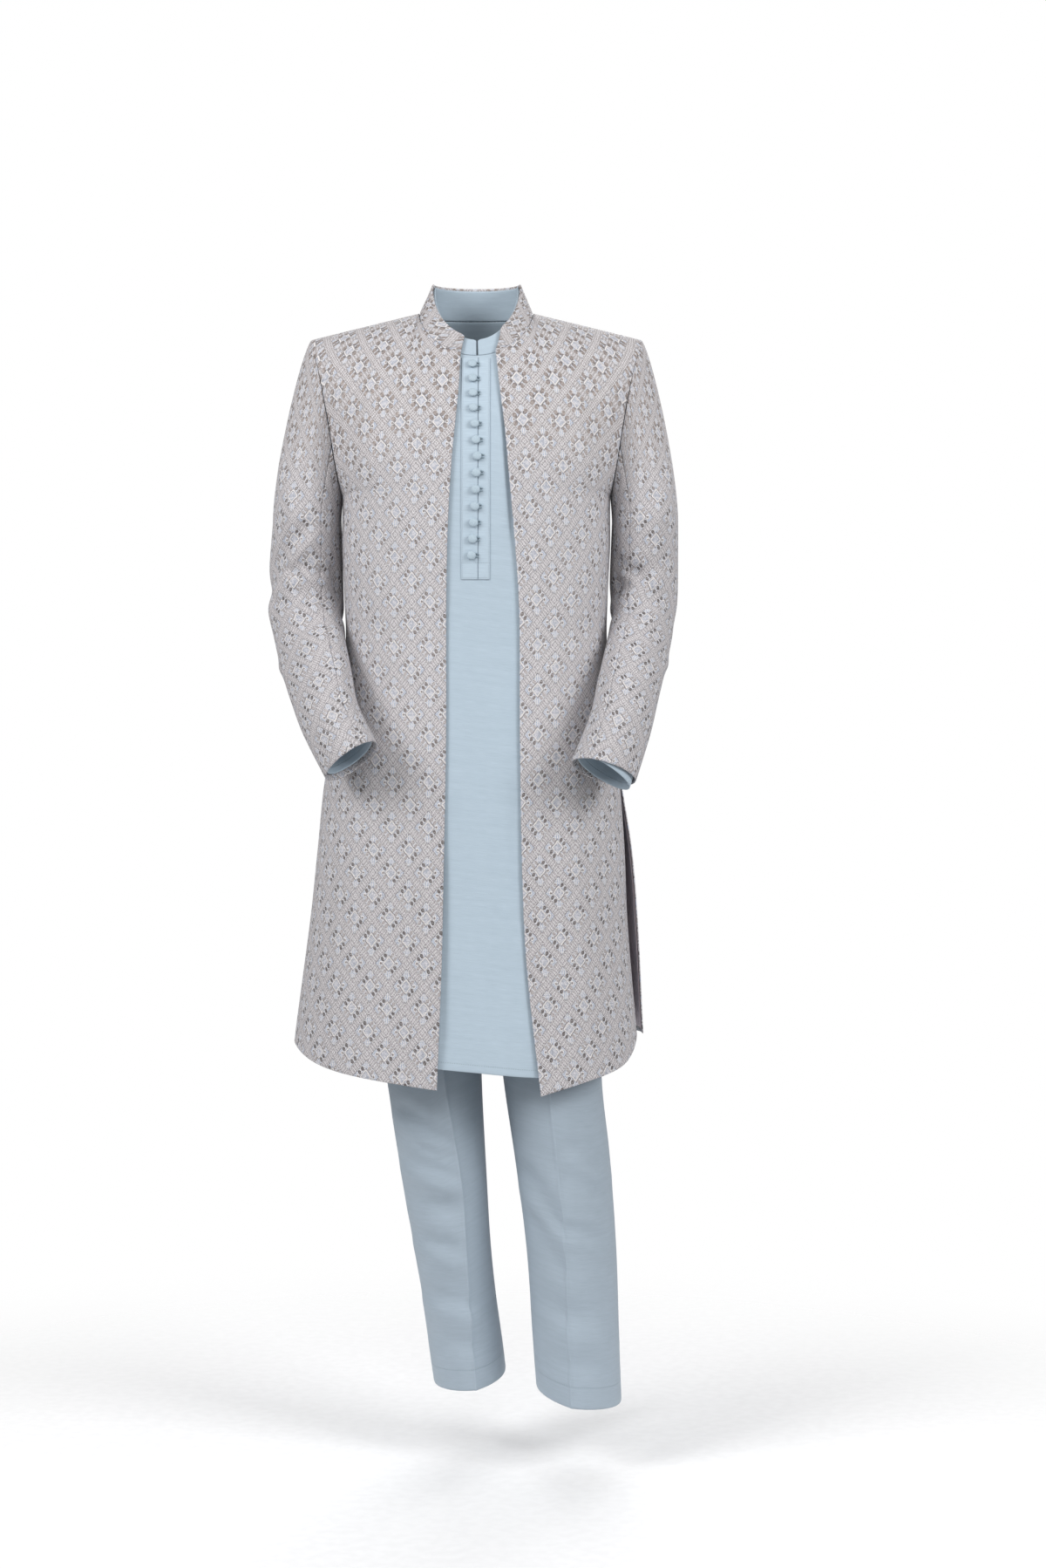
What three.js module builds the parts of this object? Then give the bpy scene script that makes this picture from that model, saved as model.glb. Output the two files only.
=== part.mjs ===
// Prince coat set: an open knee-length coat with a stand collar, a long tunic (kurta) with looped
// buttons and creased trousers, in the hollow form that they hold on a standing figure.
// Millimetres, +Z up. The front faces -Y and the wearer's right is at -X. The origin is the centre
// of the base of the neck, level with the points where the shoulder seams meet the collar.
import * as THREE from 'three';

// ---- driving sizes ----
const SEAM_GAP = 0.3;
const COAT_WALL = 2;
const COLLAR_WALL = 2.4;
const LINING_WALL = 1;
const KURTA_WALL = 1.2;
const TROUSER_WALL = 1.4;

const UNDERARM_Z = -255;
const RIDGE_Y = 5;
const SHOULDER_TIP = { x: 227, drop: 36 };
const NECK = { halfWidth: 78, frontDrop: 69, backRise: 2, backHeight: 45 };
const KURTA_NECK = { halfWidth: 75, frontDrop: 69, backRise: 2, backHeight: 45 };
const ROUNDNESS = 2.35;

const CUFF_Z = { right: -617, left: -631 };
const KURTA_CUFF_Z = { right: { inner: -611, outer: -611 }, left: { inner: -622, outer: -641 } };
const KURTA_HEM_Z = -1028;
const PLACKET = { bottomZ: -376, rightX: -18, leftX: 20, openingX: 4.2, wall: 1 };
const BUTTON = {
  count: 13,
  radius: 6,
  rimRadius: 5.6,
  crownRadius: 4.1,
  shankRadius: 2.5,
  headBase: 2.6,
  rimTop: 3.7,
  crownBase: 5.7,
  height: 6.2,
};
const LOOP = { cordRadius: 0.9, turnRadius: 3.8, turnFrom: 70, turnTo: 290, endX: 9.5, endZ: 1.6 };

const WAIST_Z = -440;
const WAISTBAND_HEIGHT = 38;
const CROTCH_Z = -735;
const FORK_X = 5;

// Sections of the coat's outside: half-widths of the front and back at the wearer's right and
// left, and the depths of the front and back from the side seams.
const COAT_SECTIONS = [
  { z: -255, frontRight: 184, frontLeft: 184, backRight: 184, backLeft: 184, front: 132, back: 120 },
  { z: -330, frontRight: 183, frontLeft: 182, backRight: 183, backLeft: 182, front: 131, back: 116 },
  { z: -396, frontRight: 181, frontLeft: 180, backRight: 181, backLeft: 180, front: 129, back: 113 },
  { z: -460, frontRight: 179, frontLeft: 179, backRight: 179, backLeft: 179, front: 128, back: 112 },
  { z: -560, frontRight: 191, frontLeft: 189, backRight: 191, backLeft: 189, front: 131, back: 126 },
  { z: -641, frontRight: 208, frontLeft: 197, backRight: 208, backLeft: 199, front: 134, back: 134 },
  { z: -737, frontRight: 218, frontLeft: 204, backRight: 218, backLeft: 214, front: 138, back: 142 },
  { z: -833, frontRight: 228, frontLeft: 208, backRight: 229, backLeft: 222, front: 142, back: 149 },
  { z: -992, frontRight: 249, frontLeft: 221, backRight: 250, backLeft: 230, front: 150, back: 158 },
  { z: -1070, frontRight: 258, frontLeft: 227, backRight: 259, backLeft: 235, front: 153, back: 161 },
];

// Above the underarm: where the armhole seam runs, and the half-width of the section it cuts.
const ARMHOLE = [
  { z: 50, seam: 228, section: 300 },
  { z: -36, seam: 227, section: 270 },
  { z: -86, seam: 214, section: 248 },
  { z: -153, seam: 201, section: 218 },
  { z: -210, seam: 192, section: 202 },
  { z: -255, seam: 184, section: 184 },
];

// Distance of the coat's two front edges from the middle, down the front.
const FRONT_EDGES = [
  { z: -60, right: 19, left: 26 },
  { z: -121, right: 22, left: 33 },
  { z: -176, right: 27, left: 40 },
  { z: -221, right: 31, left: 44 },
  { z: -309, right: 36, left: 52 },
  { z: -415, right: 38, left: 59 },
  { z: -579, right: 38, left: 60 },
  { z: -764, right: 41, left: 63 },
  { z: -888, right: 43.5, left: 69 },
  { z: -1060, right: 50, left: 88 },
];

// Sleeve rings: centre, half-width, half-depth, and the ring's tilt inward and forward in degrees.
const RIGHT_SLEEVE = [
  { z: -287, x: 233, y: 1, width: 47, depth: 67, roll: 2, pitch: 0 },
  { z: -353, x: 235.3, y: 10, width: 50.7, depth: 63, roll: 0, pitch: 2 },
  { z: -400, x: 235.6, y: 8, width: 51.9, depth: 61, roll: 4, pitch: 10 },
  { z: -440, x: 228.5, y: -14, width: 46.5, depth: 58, roll: 12, pitch: 18 },
  { z: -478, x: 220, y: -47, width: 42.5, depth: 55, roll: 17, pitch: 21 },
  { z: -520, x: 207, y: -86, width: 41, depth: 52, roll: 20, pitch: 22 },
  { z: -562, x: 192, y: -121, width: 40, depth: 50, roll: 25, pitch: 20 },
  { z: -617, x: 162, y: -152, width: 41, depth: 49, roll: 33, pitch: 16 },
  { z: -650, x: 144, y: -168, width: 41, depth: 49, roll: 34, pitch: 16 },
];
const LEFT_SLEEVE = [
  { z: -287, x: 232, y: 1, width: 45.5, depth: 66, roll: 0, pitch: 0 },
  { z: -353, x: 231, y: 10, width: 47, depth: 63, roll: 0, pitch: 2 },
  { z: -400, x: 229.7, y: 8, width: 46.8, depth: 61, roll: 4, pitch: 10 },
  { z: -440, x: 225, y: -24, width: 43.5, depth: 56, roll: 9, pitch: 18 },
  { z: -478, x: 216, y: -58, width: 43, depth: 53, roll: 13, pitch: 21 },
  { z: -520, x: 205, y: -94, width: 42.5, depth: 51, roll: 14, pitch: 22 },
  { z: -568, x: 193, y: -128, width: 42, depth: 50, roll: 15, pitch: 20 },
  { z: -631, x: 170, y: -152, width: 44.5, depth: 49, roll: 16, pitch: 16 },
  { z: -660, x: 160, y: -164, width: 44.5, depth: 49, roll: 16, pitch: 16 },
];

// The largest sleeve folds: ring height, angle round the sleeve, reach each way, slant and depth.
// A negative depth is a fullness that stands out.
const SLEEVE_FOLDS = {
  right: [
    { z: -368, angle: 30, reachZ: 16, reachAngle: 55, slant: 0.35, depth: 6 },
    { z: -398, angle: 65, reachZ: 13, reachAngle: 60, slant: -0.2, depth: 6 },
    { z: -440, angle: 100, reachZ: 14, reachAngle: 45, slant: -0.3, depth: 4 },
    { z: -490, angle: 140, reachZ: 70, reachAngle: 45, slant: 0, depth: -9 },
    { z: -480, angle: 0, reachZ: 65, reachAngle: 45, slant: 0, depth: -4 },
  ],
  left: [
    { z: -372, angle: 120, reachZ: 15, reachAngle: 60, slant: -0.35, depth: 6 },
    { z: -402, angle: 60, reachZ: 14, reachAngle: 50, slant: 0.3, depth: 5 },
    { z: -448, angle: 80, reachZ: 15, reachAngle: 45, slant: 0.3, depth: 4 },
  ],
};

// Trouser legs: centre, half-width, front and back depths, and where the front crease runs, as an
// angle round the leg from the inside seam.
const RIGHT_LEG = [
  { z: -700, x: -88, y: 4, width: 90, front: 102, back: 106, crease: 84 },
  { z: -760, x: -84, y: 5, width: 85, front: 95, back: 99, crease: 82 },
  { z: -860, x: -74, y: 6, width: 77, front: 92, back: 94, crease: 80 },
  { z: -950, x: -65, y: 7, width: 71, front: 89, back: 91, crease: 78 },
  { z: -1050, x: -58.5, y: 8, width: 65.5, front: 85, back: 88, crease: 75 },
  { z: -1190, x: -44.5, y: 8, width: 58.5, front: 81, back: 85, crease: 64 },
  { z: -1275, x: -34.5, y: 8, width: 53.5, front: 78, back: 82, crease: 66 },
  { z: -1345, x: -25, y: 8, width: 51, front: 76, back: 80, crease: 71 },
  { z: -1425, x: -14, y: 8, width: 51, front: 74, back: 79, crease: 77 },
  { z: -1480, x: -7, y: 8, width: 50, front: 73, back: 79, crease: 79 },
];
const LEFT_LEG = [
  { z: -700, x: 98, y: 3, width: 90, front: 102, back: 106, crease: 87 },
  { z: -760, x: 97, y: 2, width: 88, front: 95, back: 99, crease: 87 },
  { z: -860, x: 98, y: -2, width: 80, front: 92, back: 94, crease: 86 },
  { z: -950, x: 101, y: -7, width: 74, front: 89, back: 91, crease: 85 },
  { z: -1050, x: 104.5, y: -14, width: 67.5, front: 85, back: 88, crease: 85 },
  { z: -1158, x: 118, y: -24, width: 65, front: 83, back: 87, crease: 83 },
  { z: -1280, x: 130, y: -38, width: 61, front: 80, back: 84, crease: 81 },
  { z: -1402, x: 136, y: -52, width: 58.5, front: 77, back: 81, crease: 79 },
  { z: -1490, x: 141, y: -62, width: 56.5, front: 75, back: 79, crease: 78 },
];
const LEG_HEM = {
  right: { z: -1460, frontDrop: 6, outerDrop: 7.5 },
  left: { z: -1468.5, frontDrop: 5, outerDrop: 9.5 },
};
const LEG_FOLDS = {
  right: [
    { z: -1128, angle: -35, reachZ: 16, reachAngle: 50, slant: -0.4, depth: 4 },
    { z: -1222, angle: -25, reachZ: 16, reachAngle: 55, slant: 0.2, depth: 5 },
    { z: -1330, angle: -10, reachZ: 18, reachAngle: 60, slant: -0.25, depth: 4 },
  ],
  left: [
    { z: -1165, angle: 30, reachZ: 18, reachAngle: 55, slant: -0.4, depth: 4 },
    { z: -1232, angle: -50, reachZ: 16, reachAngle: 45, slant: -0.5, depth: 4 },
    { z: -1350, angle: 10, reachZ: 20, reachAngle: 60, slant: -0.3, depth: 4 },
  ],
};

// Centres of the covered buttons down the placket.
const BUTTON_LINE = [
  { x: -4, z: -84 },
  { x: -2, z: -146 },
  { x: 3, z: -212 },
  { x: 0, z: -279 },
  { x: -4.5, z: -344 },
];

// ---- small maths ----
const lerp = (a, b, t) => a + (b - a) * t;
const clamp = (t, low = 0, high = 1) => Math.min(high, Math.max(low, t));
const smooth = (t) => clamp(t) ** 2 * (3 - 2 * clamp(t));
const degrees = Math.PI / 180;
const bell = (t) => Math.exp(-t * t);

/** Reads one named column of a table whose rows run down in z, on a smooth curve. */
function read(table, name, z) {
  let row = 0;
  while (row < table.length - 2 && z < table[row + 1].z) row += 1;
  const from = table[row];
  const to = table[row + 1];
  const span = to.z - from.z;
  const t = clamp((z - from.z) / span);
  const slope = (a, b) => (b[name] - a[name]) / (b.z - a.z);
  const startSlope = row > 0 ? slope(table[row - 1], to) : slope(from, to);
  const endSlope = row < table.length - 2 ? slope(from, table[row + 2]) : slope(from, to);
  const start = (1 + 2 * t) * (1 - t) ** 2 * from[name] + t * (1 - t) ** 2 * span * startSlope;
  return start + t * t * (3 - 2 * t) * to[name] + t * t * (t - 1) * span * endSlope;
}

/** Depth of the folds of a list at a height and an angle round a tube. */
function foldDepth(folds, z, angle) {
  let depth = 0;
  for (const fold of folds) {
    const turned = (angle - fold.angle) * degrees;
    const away = Math.atan2(Math.sin(turned), Math.cos(turned)) / degrees;
    const down = (z - fold.z - fold.slant * away) / fold.reachZ;
    depth += fold.depth * bell(down) * bell(away / fold.reachAngle);
  }
  return depth;
}

// ---- building sheets ----
/**
 * A closed cloth solid. `place(s, t)` gives the outside, with s across and t up, both from lists.
 * The inside is moved along the normals by the wall. `inward(point)` is a point within the hollow.
 */
function sheet(panel) {
  const { across, up, place, inward, wall, seamNormal, sunk = () => 0, closed = false } = panel;
  const step = 1e-3;
  const outer = [];
  const inner = [];
  for (const t of up) {
    for (const s of across) {
      const point = place(s, t);
      const low = closed ? s - step : Math.max(across[0], s - step);
      const high = closed ? s + step : Math.min(across[across.length - 1], s + step);
      const alongS = place(high, t).sub(place(low, t));
      const below = Math.max(Math.min(up[0], up[up.length - 1]), t - step);
      const above = Math.min(Math.max(up[0], up[up.length - 1]), t + step);
      const alongT = place(s, above).sub(place(s, below));
      const normal = alongS.cross(alongT).normalize();
      if (normal.dot(inward(point).sub(point)) > 0) normal.negate();
      const shared = seamNormal ? seamNormal(s, t, normal) : normal;
      const sink = sunk(s, t);
      outer.push(point.clone().addScaledVector(shared, -sink));
      inner.push(point.clone().addScaledVector(shared, -sink - wall));
    }
  }
  return closeSheet(outer, inner, across.length, up.length, closed);
}

/** Joins an outer and an inner grid of points into one closed body. */
function closeSheet(outer, inner, columns, rows, closed) {
  const positions = [...outer, ...inner].flatMap((point) => point.toArray());
  const half = outer.length;
  const indices = [];
  const quad = (a, b, c, d) => indices.push(a, b, c, a, c, d);
  const spans = closed ? columns : columns - 1;
  for (let row = 0; row < rows - 1; row += 1) {
    for (let column = 0; column < spans; column += 1) {
      const next = (column + 1) % columns;
      const a = row * columns + column;
      const b = row * columns + next;
      const c = b + columns;
      const d = a + columns;
      quad(d, a, b, c);
      quad(half + d, half + c, half + b, half + a);
    }
  }
  for (let column = 0; column < spans; column += 1) {
    const next = (column + 1) % columns;
    const top = (rows - 1) * columns;
    quad(half + column, half + next, next, column);
    quad(top + column, top + next, half + top + next, half + top + column);
  }
  if (!closed) {
    for (let row = 0; row < rows - 1; row += 1) {
      const low = row * columns;
      const high = low + columns;
      quad(half + high, half + low, low, high);
      const lowEnd = low + columns - 1;
      const highEnd = high + columns - 1;
      quad(highEnd, lowEnd, half + lowEnd, half + highEnd);
    }
  }
  const geometry = new THREE.BufferGeometry();
  geometry.setAttribute('position', new THREE.Float32BufferAttribute(positions, 3));
  geometry.setIndex(signedVolume(positions, indices) < 0 ? indices.reverse() : indices);
  geometry.computeVertexNormals();
  return geometry;
}

function signedVolume(positions, indices) {
  let volume = 0;
  const corner = (index) => new THREE.Vector3().fromArray(positions, index * 3);
  for (let i = 0; i < indices.length; i += 3) {
    const a = corner(indices[i]);
    volume += a.dot(corner(indices[i + 1]).cross(corner(indices[i + 2]))) / 6;
  }
  return volume;
}

const evenly = (from, to, count) => {
  const places = Array.from({ length: count + 1 }, (_, index) => index / count);
  return places.map((share) => lerp(from, to, share));
};

// ---- materials ----
const cloth = (color, roughness) => new THREE.MeshStandardMaterial({ color, roughness, metalness: 0 });
const coatCloth = () => cloth(0xc6c4c4, 0.8);
const liningCloth = () => cloth(0x8c767c, 0.55);
const kurtaCloth = () => cloth(0xb2cad6, 0.7);
const trouserCloth = () => cloth(0x96aeb8, 0.7);

const set = new THREE.Group();

function add(name, geometry, material) {
  const mesh = new THREE.Mesh(geometry, material);
  mesh.name = name;
  set.add(mesh);
}

// ---- the trunk's surface, shared by coat and kurta ----
const NECK_COLUMNS = 5;
const SHOULDER_COLUMNS = 6;
const COLUMNS = NECK_COLUMNS + SHOULDER_COLUMNS;
const NECK_SHARE = NECK_COLUMNS / COLUMNS;
const NECK_SHARE_BELOW = 0.3;
const SKIRT_SHARE = 0.86;
const SKIRT_Z = -940;
const ARMHOLE_ROWS = 9;
const ARMHOLE_SPACING = 1.5;
const HALF_GAP = SEAM_GAP / 2;
const ARMHOLE_GAP = { out: 1.3 * SEAM_GAP, down: 0.8 * SEAM_GAP };
const HOLLOW = { narrowing: 0.4, topZ: -140 };

const sideName = (side) => (side < 0 ? 'Right' : 'Left');
const sectionAngle = (x, halfWidth) => Math.asin(clamp(x / halfWidth) ** (ROUNDNESS / 2));
const ridgeHeight = (x) => {
  const share = (x - NECK.halfWidth) / (SHOULDER_TIP.x - NECK.halfWidth);
  return -SHOULDER_TIP.drop * clamp(share);
};

/** Share of the way from the middle to the side, with more columns near the neck. */
function shareAtUnderarm(across) {
  if (across < NECK_SHARE) return (NECK_SHARE_BELOW * across) / NECK_SHARE;
  return lerp(NECK_SHARE_BELOW, 1, (across - NECK_SHARE) / (1 - NECK_SHARE));
}

/**
 * A point of the trunk. side is -1 or 1, back is true behind the side seams, across runs from the
 * cut's front edge to the side, up from -1 at the hem through 0 at the underarm to 1 at the top.
 */
function trunkPoint(cut, side, back, across, up) {
  const share = shareAtUnderarm(across);
  const edgeAt = (z) => (back ? 0 : cut.edge(side, z));
  const facing = back ? 1 : -1;
  if (up <= 0) {
    const widthName = (back ? cut.backWidths : 'front') + sideName(side);
    const hemEdge = sectionAngle(edgeAt(cut.hemZ), read(COAT_SECTIONS, widthName, cut.hemZ));
    const hemShare = Math.sin(lerp(hemEdge, Math.PI / 2, share)) ** (2 / ROUNDNESS);
    const z = -up < SKIRT_SHARE
      ? lerp(UNDERARM_Z, SKIRT_Z, -up / SKIRT_SHARE)
      : lerp(SKIRT_Z, cut.hem(side, back, hemShare), (-up - SKIRT_SHARE) / (1 - SKIRT_SHARE));
    const width = read(COAT_SECTIONS, widthName, z);
    const depth = read(COAT_SECTIONS, back ? 'back' : 'front', z);
    const angle = lerp(sectionAngle(edgeAt(z), width), Math.PI / 2, share);
    const x = side * width * Math.sin(angle) ** (2 / ROUNDNESS);
    const y = facing * (HALF_GAP + depth * Math.max(0, Math.cos(angle)) ** (2 / ROUNDNESS));
    return new THREE.Vector3(x, y, z);
  }
  const neck = cut.neck;
  const inNeck = across < NECK_SHARE;
  const neckStart = Math.asin(edgeAt(-neck.frontDrop) / neck.halfWidth);
  const topX = inNeck
    ? neck.halfWidth * Math.sin(lerp(neckStart, Math.PI / 2, across / NECK_SHARE))
    : lerp(neck.halfWidth, SHOULDER_TIP.x, (across - NECK_SHARE) / (1 - NECK_SHARE));
  const inside = clamp(1 - (topX / neck.halfWidth) ** 2);
  const ridge = back && inNeck ? neck.backHeight * inside : ridgeHeight(topX);
  const neckLine = back ? neck.backRise * inside : -neck.frontDrop * Math.sqrt(inside);
  const topZ = inNeck ? neckLine : ridge;
  const topTurn = Math.asin(clamp((topZ - UNDERARM_Z) / (ridge - UNDERARM_Z)));
  const turn = topTurn * up;
  const z = lerp(UNDERARM_Z, ridge, Math.sin(turn));
  const spanAt = (height) => {
    const section = read(ARMHOLE, 'section', height);
    const from = sectionAngle(edgeAt(height), section);
    return { section, from, to: sectionAngle(read(ARMHOLE, 'seam', height), section) };
  };
  const top = spanAt(topZ);
  const topShare = (sectionAngle(topX, top.section) - top.from) / (top.to - top.from);
  const here = spanAt(z);
  const angle = lerp(here.from, here.to, lerp(share, topShare, smooth(up)));
  const depth = read(COAT_SECTIONS, back ? 'back' : 'front', UNDERARM_Z);
  const flat = depth * Math.max(0, Math.cos(angle)) ** (2 / ROUNDNESS);
  const bow = Math.cos(turn);
  const y = RIDGE_Y * (1 - bow) + facing * (HALF_GAP + flat * bow);
  return new THREE.Vector3(side * here.section * Math.sin(angle) ** (2 / ROUNDNESS), y, z);
}

const trunkInside = (point) => {
  const z = Math.min(point.z, HOLLOW.topZ);
  return new THREE.Vector3(point.x * HOLLOW.narrowing, RIDGE_Y, z);
};
const BODY_ROWS = [
  -1,
  ...evenly(-SKIRT_SHARE, 0, 8),
  ...evenly(0, 1, ARMHOLE_ROWS).slice(1).map((step) => step ** ARMHOLE_SPACING),
];
const HALF_COLUMNS = evenly(0, 1, COLUMNS);
const bothSides = (shares) => [...shares.slice(1).reverse().map((share) => -share), ...shares];
const FULL_COLUMNS = bothSides(HALF_COLUMNS);

// ---- cuts of the coat and kurta ----
const coatCut = {
  neck: NECK,
  backWidths: 'back',
  hemZ: -1050,
  edge: (side, z) => read(FRONT_EDGES, side < 0 ? 'right' : 'left', z),
  hem: (side, back, share) => {
    if (back) return -1000 + 10 * share ** 2;
    if (side < 0) return -1058 + 36 * share + 24 * share ** 8;
    return -1083 + 61 * share + 32 * share ** 20;
  },
};
const kurtaCut = {
  neck: KURTA_NECK,
  backWidths: 'front',
  hemZ: KURTA_HEM_Z,
  edge: () => 0,
  hem: (side, back, share) => {
    if (back) return -980;
    return KURTA_HEM_Z - 23 * side * share + (side < 0 ? 10 : 65) * share ** 4;
  },
};

const fullPlace = (cut, back) => (s, t) => trunkPoint(cut, s < 0 ? -1 : 1, back, Math.abs(s), t);

// ---- sleeves ----
const SLEEVE_TABLES = { right: RIGHT_SLEEVE, left: LEFT_SLEEVE };
const CAP_END = 0.4;
const CAP_LEAVE = 0.35;
const CAP_ARRIVE = 0.8;
const CAP_SPREAD = { least: 0.1, most: 0.5 };
const CAP_ROPE = 0.34;
const RING_START_Z = RIGHT_SLEEVE[0].z;
const RING_INSIDE_Z = RING_START_Z + 60;

/** How far up the armhole an angle lies: 0 degrees is at the shoulder tip, 180 under the arm. */
function armholeHeight(angle) {
  const turned = ((angle % 360) + 360) % 360;
  return (1 - Math.min(turned, 360 - turned) / 180) ** ARMHOLE_SPACING;
}

/** The armhole seam at an angle: 0 at the shoulder tip, 90 in front, 180 under the arm. */
function armholePoint(side, angle) {
  const back = ((angle % 360) + 360) % 360 > 180;
  return trunkPoint(coatCut, side, back, 1, Math.max(1e-6, armholeHeight(angle)));
}

function sleeveRing(side, angle, z) {
  const name = side < 0 ? 'right' : 'left';
  const table = SLEEVE_TABLES[name];
  const roll = read(table, 'roll', z) * degrees;
  const pitch = read(table, 'pitch', z) * degrees;
  const sink = foldDepth(SLEEVE_FOLDS[name], z, angle);
  const width = read(table, 'width', z) - sink;
  const depth = read(table, 'depth', z) - sink;
  const outward = new THREE.Vector3(side * Math.cos(roll), 0, -Math.sin(roll));
  const forward = new THREE.Vector3(0, -Math.cos(pitch), Math.sin(pitch));
  const centre = new THREE.Vector3(side * read(table, 'x', z), read(table, 'y', z), z);
  return centre
    .addScaledVector(outward, width * Math.cos(angle * degrees))
    .addScaledVector(forward, depth * Math.sin(angle * degrees));
}

/** A point of a sleeve: down runs from 0 at the armhole through the cap to 1 at the cuff. */
function sleevePoint(side, angle, down, cuffZ) {
  if (down >= CAP_END) {
    return sleeveRing(side, angle, lerp(RING_START_Z, cuffZ, (down - CAP_END) / (1 - CAP_END)));
  }
  const t = down / CAP_END;
  const from = armholePoint(side, angle);
  const to = sleeveRing(side, angle, RING_START_Z);
  const reach = from.distanceTo(to);
  const top = ((1 + Math.cos(angle * degrees)) / 2) ** 2;
  const spread = lerp(CAP_SPREAD.least, CAP_SPREAD.most, top);
  const leave = new THREE.Vector3(side * spread, 0, CAP_ROPE * top - 1).multiplyScalar(CAP_LEAVE * reach);
  const arrive = new THREE.Vector3(0, 0, -CAP_ARRIVE * reach);
  from.x += side * ARMHOLE_GAP.out;
  from.z -= ARMHOLE_GAP.down * top;
  return from
    .multiplyScalar((1 + 2 * t) * (1 - t) ** 2)
    .addScaledVector(leave, t * (1 - t) ** 2)
    .addScaledVector(to, t * t * (3 - 2 * t))
    .addScaledVector(arrive, t * t * (t - 1));
}

const sleeveInside = (side) => (point) => {
  const table = SLEEVE_TABLES[side < 0 ? 'right' : 'left'];
  const z = Math.min(point.z, RING_INSIDE_Z);
  return new THREE.Vector3(side * read(table, 'x', z), read(table, 'y', z), Math.min(point.z, z));
};

const MITRE = { step: 0.5, intoBody: 0.99, intoSleeve: 0.01, least: 2e-3, most: 1.3, agree: 0.5 };

/** One direction for both walls where a sleeve meets the trunk, so that they part on a mitre. */
function mitre(side, angle, own) {
  const step = MITRE.step;
  const along = armholePoint(side, angle + step).sub(armholePoint(side, angle - step));
  const back = ((angle % 360) + 360) % 360 > 180;
  const up = Math.max(MITRE.least, armholeHeight(angle));
  const edge = trunkPoint(coatCut, side, back, 1, up);
  const intoBody = edge.clone().sub(trunkPoint(coatCut, side, back, MITRE.intoBody, up));
  const bodyNormal = along.clone().cross(intoBody).normalize();
  if (bodyNormal.dot(trunkInside(edge).sub(edge)) > 0) bodyNormal.negate();
  const seam = sleevePoint(side, angle, 0, CUFF_Z.right);
  const intoSleeve = sleevePoint(side, angle, MITRE.intoSleeve, CUFF_Z.right).sub(seam);
  const sleeveNormal = along.clone().cross(intoSleeve).normalize();
  if (sleeveNormal.dot(sleeveInside(side)(edge).sub(edge)) > 0) sleeveNormal.negate();
  const agree = bodyNormal.dot(sleeveNormal);
  const shared = bodyNormal.add(sleeveNormal).normalize();
  shared.multiplyScalar(Math.min(MITRE.most, 1 / Math.sqrt((1 + Math.max(0, agree)) / 2)));
  return shared.lerp(own, 1 - smooth(agree / MITRE.agree));
}

const trunkSeamNormal = (sideOf, back) => (s, t, normal) => {
  if (Math.abs(s) < 1 || t <= 0) return normal;
  const fromTop = 180 * (1 - t ** (1 / ARMHOLE_SPACING));
  return mitre(sideOf(s), back ? 360 - fromTop : fromTop, normal);
};
const sleeveSeamNormal = (side) => (s, t, normal) => (t > 0 ? normal : mitre(side, s, normal));

// ---- coat ----
for (const [name, side] of [['right', -1], ['left', 1]]) {
  add(`coat_front_${name}`, sheet({
    across: HALF_COLUMNS,
    up: BODY_ROWS,
    place: (s, t) => trunkPoint(coatCut, side, false, s, t),
    inward: trunkInside,
    wall: COAT_WALL,
    seamNormal: trunkSeamNormal(() => side, false),
  }), coatCloth());
}
add('coat_back', sheet({
  across: FULL_COLUMNS,
  up: BODY_ROWS,
  place: fullPlace(coatCut, true),
  inward: trunkInside,
  wall: COAT_WALL,
  seamNormal: trunkSeamNormal((s) => Math.sign(s), true),
}), coatCloth());

const LINING = { sides: 0.992, hem: -0.98 };
add('coat_back_lining', sheet({
  across: FULL_COLUMNS.map((share) => share * LINING.sides),
  up: [LINING.hem, ...BODY_ROWS.slice(1, 5)],
  place: fullPlace(coatCut, true),
  inward: trunkInside,
  wall: LINING_WALL,
  sunk: () => COAT_WALL + 2 * SEAM_GAP,
}), liningCloth());

const SLEEVE_ROWS = [...evenly(0, CAP_END, 4), ...evenly(CAP_END, 1, 11).slice(1)];
const SLEEVE_SEAM_ANGLE = 120;
const SLEEVE_TRIM = { armhole: 0.75, below: 0.18, blend: 0.2 };
for (const [name, side] of [['right', -1], ['left', 1]]) {
  const pieces = [
    ['topsleeve', -SLEEVE_SEAM_ANGLE, SLEEVE_SEAM_ANGLE, 12],
    ['undersleeve', SLEEVE_SEAM_ANGLE, 360 - SLEEVE_SEAM_ANGLE, 6],
  ];
  for (const [piece, from, to, count] of pieces) {
    const across = evenly(from, to, count);
    const trimmed = (s, t) => {
      const trim = lerp(SLEEVE_TRIM.armhole, SLEEVE_TRIM.below, smooth(t / SLEEVE_TRIM.blend));
      return lerp(from + trim, to - trim, (s - from) / (to - from));
    };
    add(`coat_${piece}_${name}`, sheet({
      across,
      up: SLEEVE_ROWS,
      place: (s, t) => sleevePoint(side, trimmed(s, t), t, CUFF_Z[name]),
      inward: sleeveInside(side),
      wall: COAT_WALL,
      seamNormal: sleeveSeamNormal(side),
    }), coatCloth());
  }
}

// ---- how the kurta lies under the coat ----
const SLEEVE_SINK = 5;
const KURTA_ROWS_LEFT_OUT = [1, 3, 5, 10, 12, 14];
const KURTA_SINK = { top: 4.8, body: 5, skirt: 6 };
const SINK_BLEND = { top: 0.6, start: 0.5, length: 0.3 };

/** How far the kurta lies inside the coat's surface. */
function kurtaSink(t) {
  if (t > 0) return lerp(KURTA_SINK.body, KURTA_SINK.top, smooth(t / SINK_BLEND.top));
  return lerp(KURTA_SINK.body, KURTA_SINK.skirt, smooth((-t - SINK_BLEND.start) / SINK_BLEND.length));
}

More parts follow.
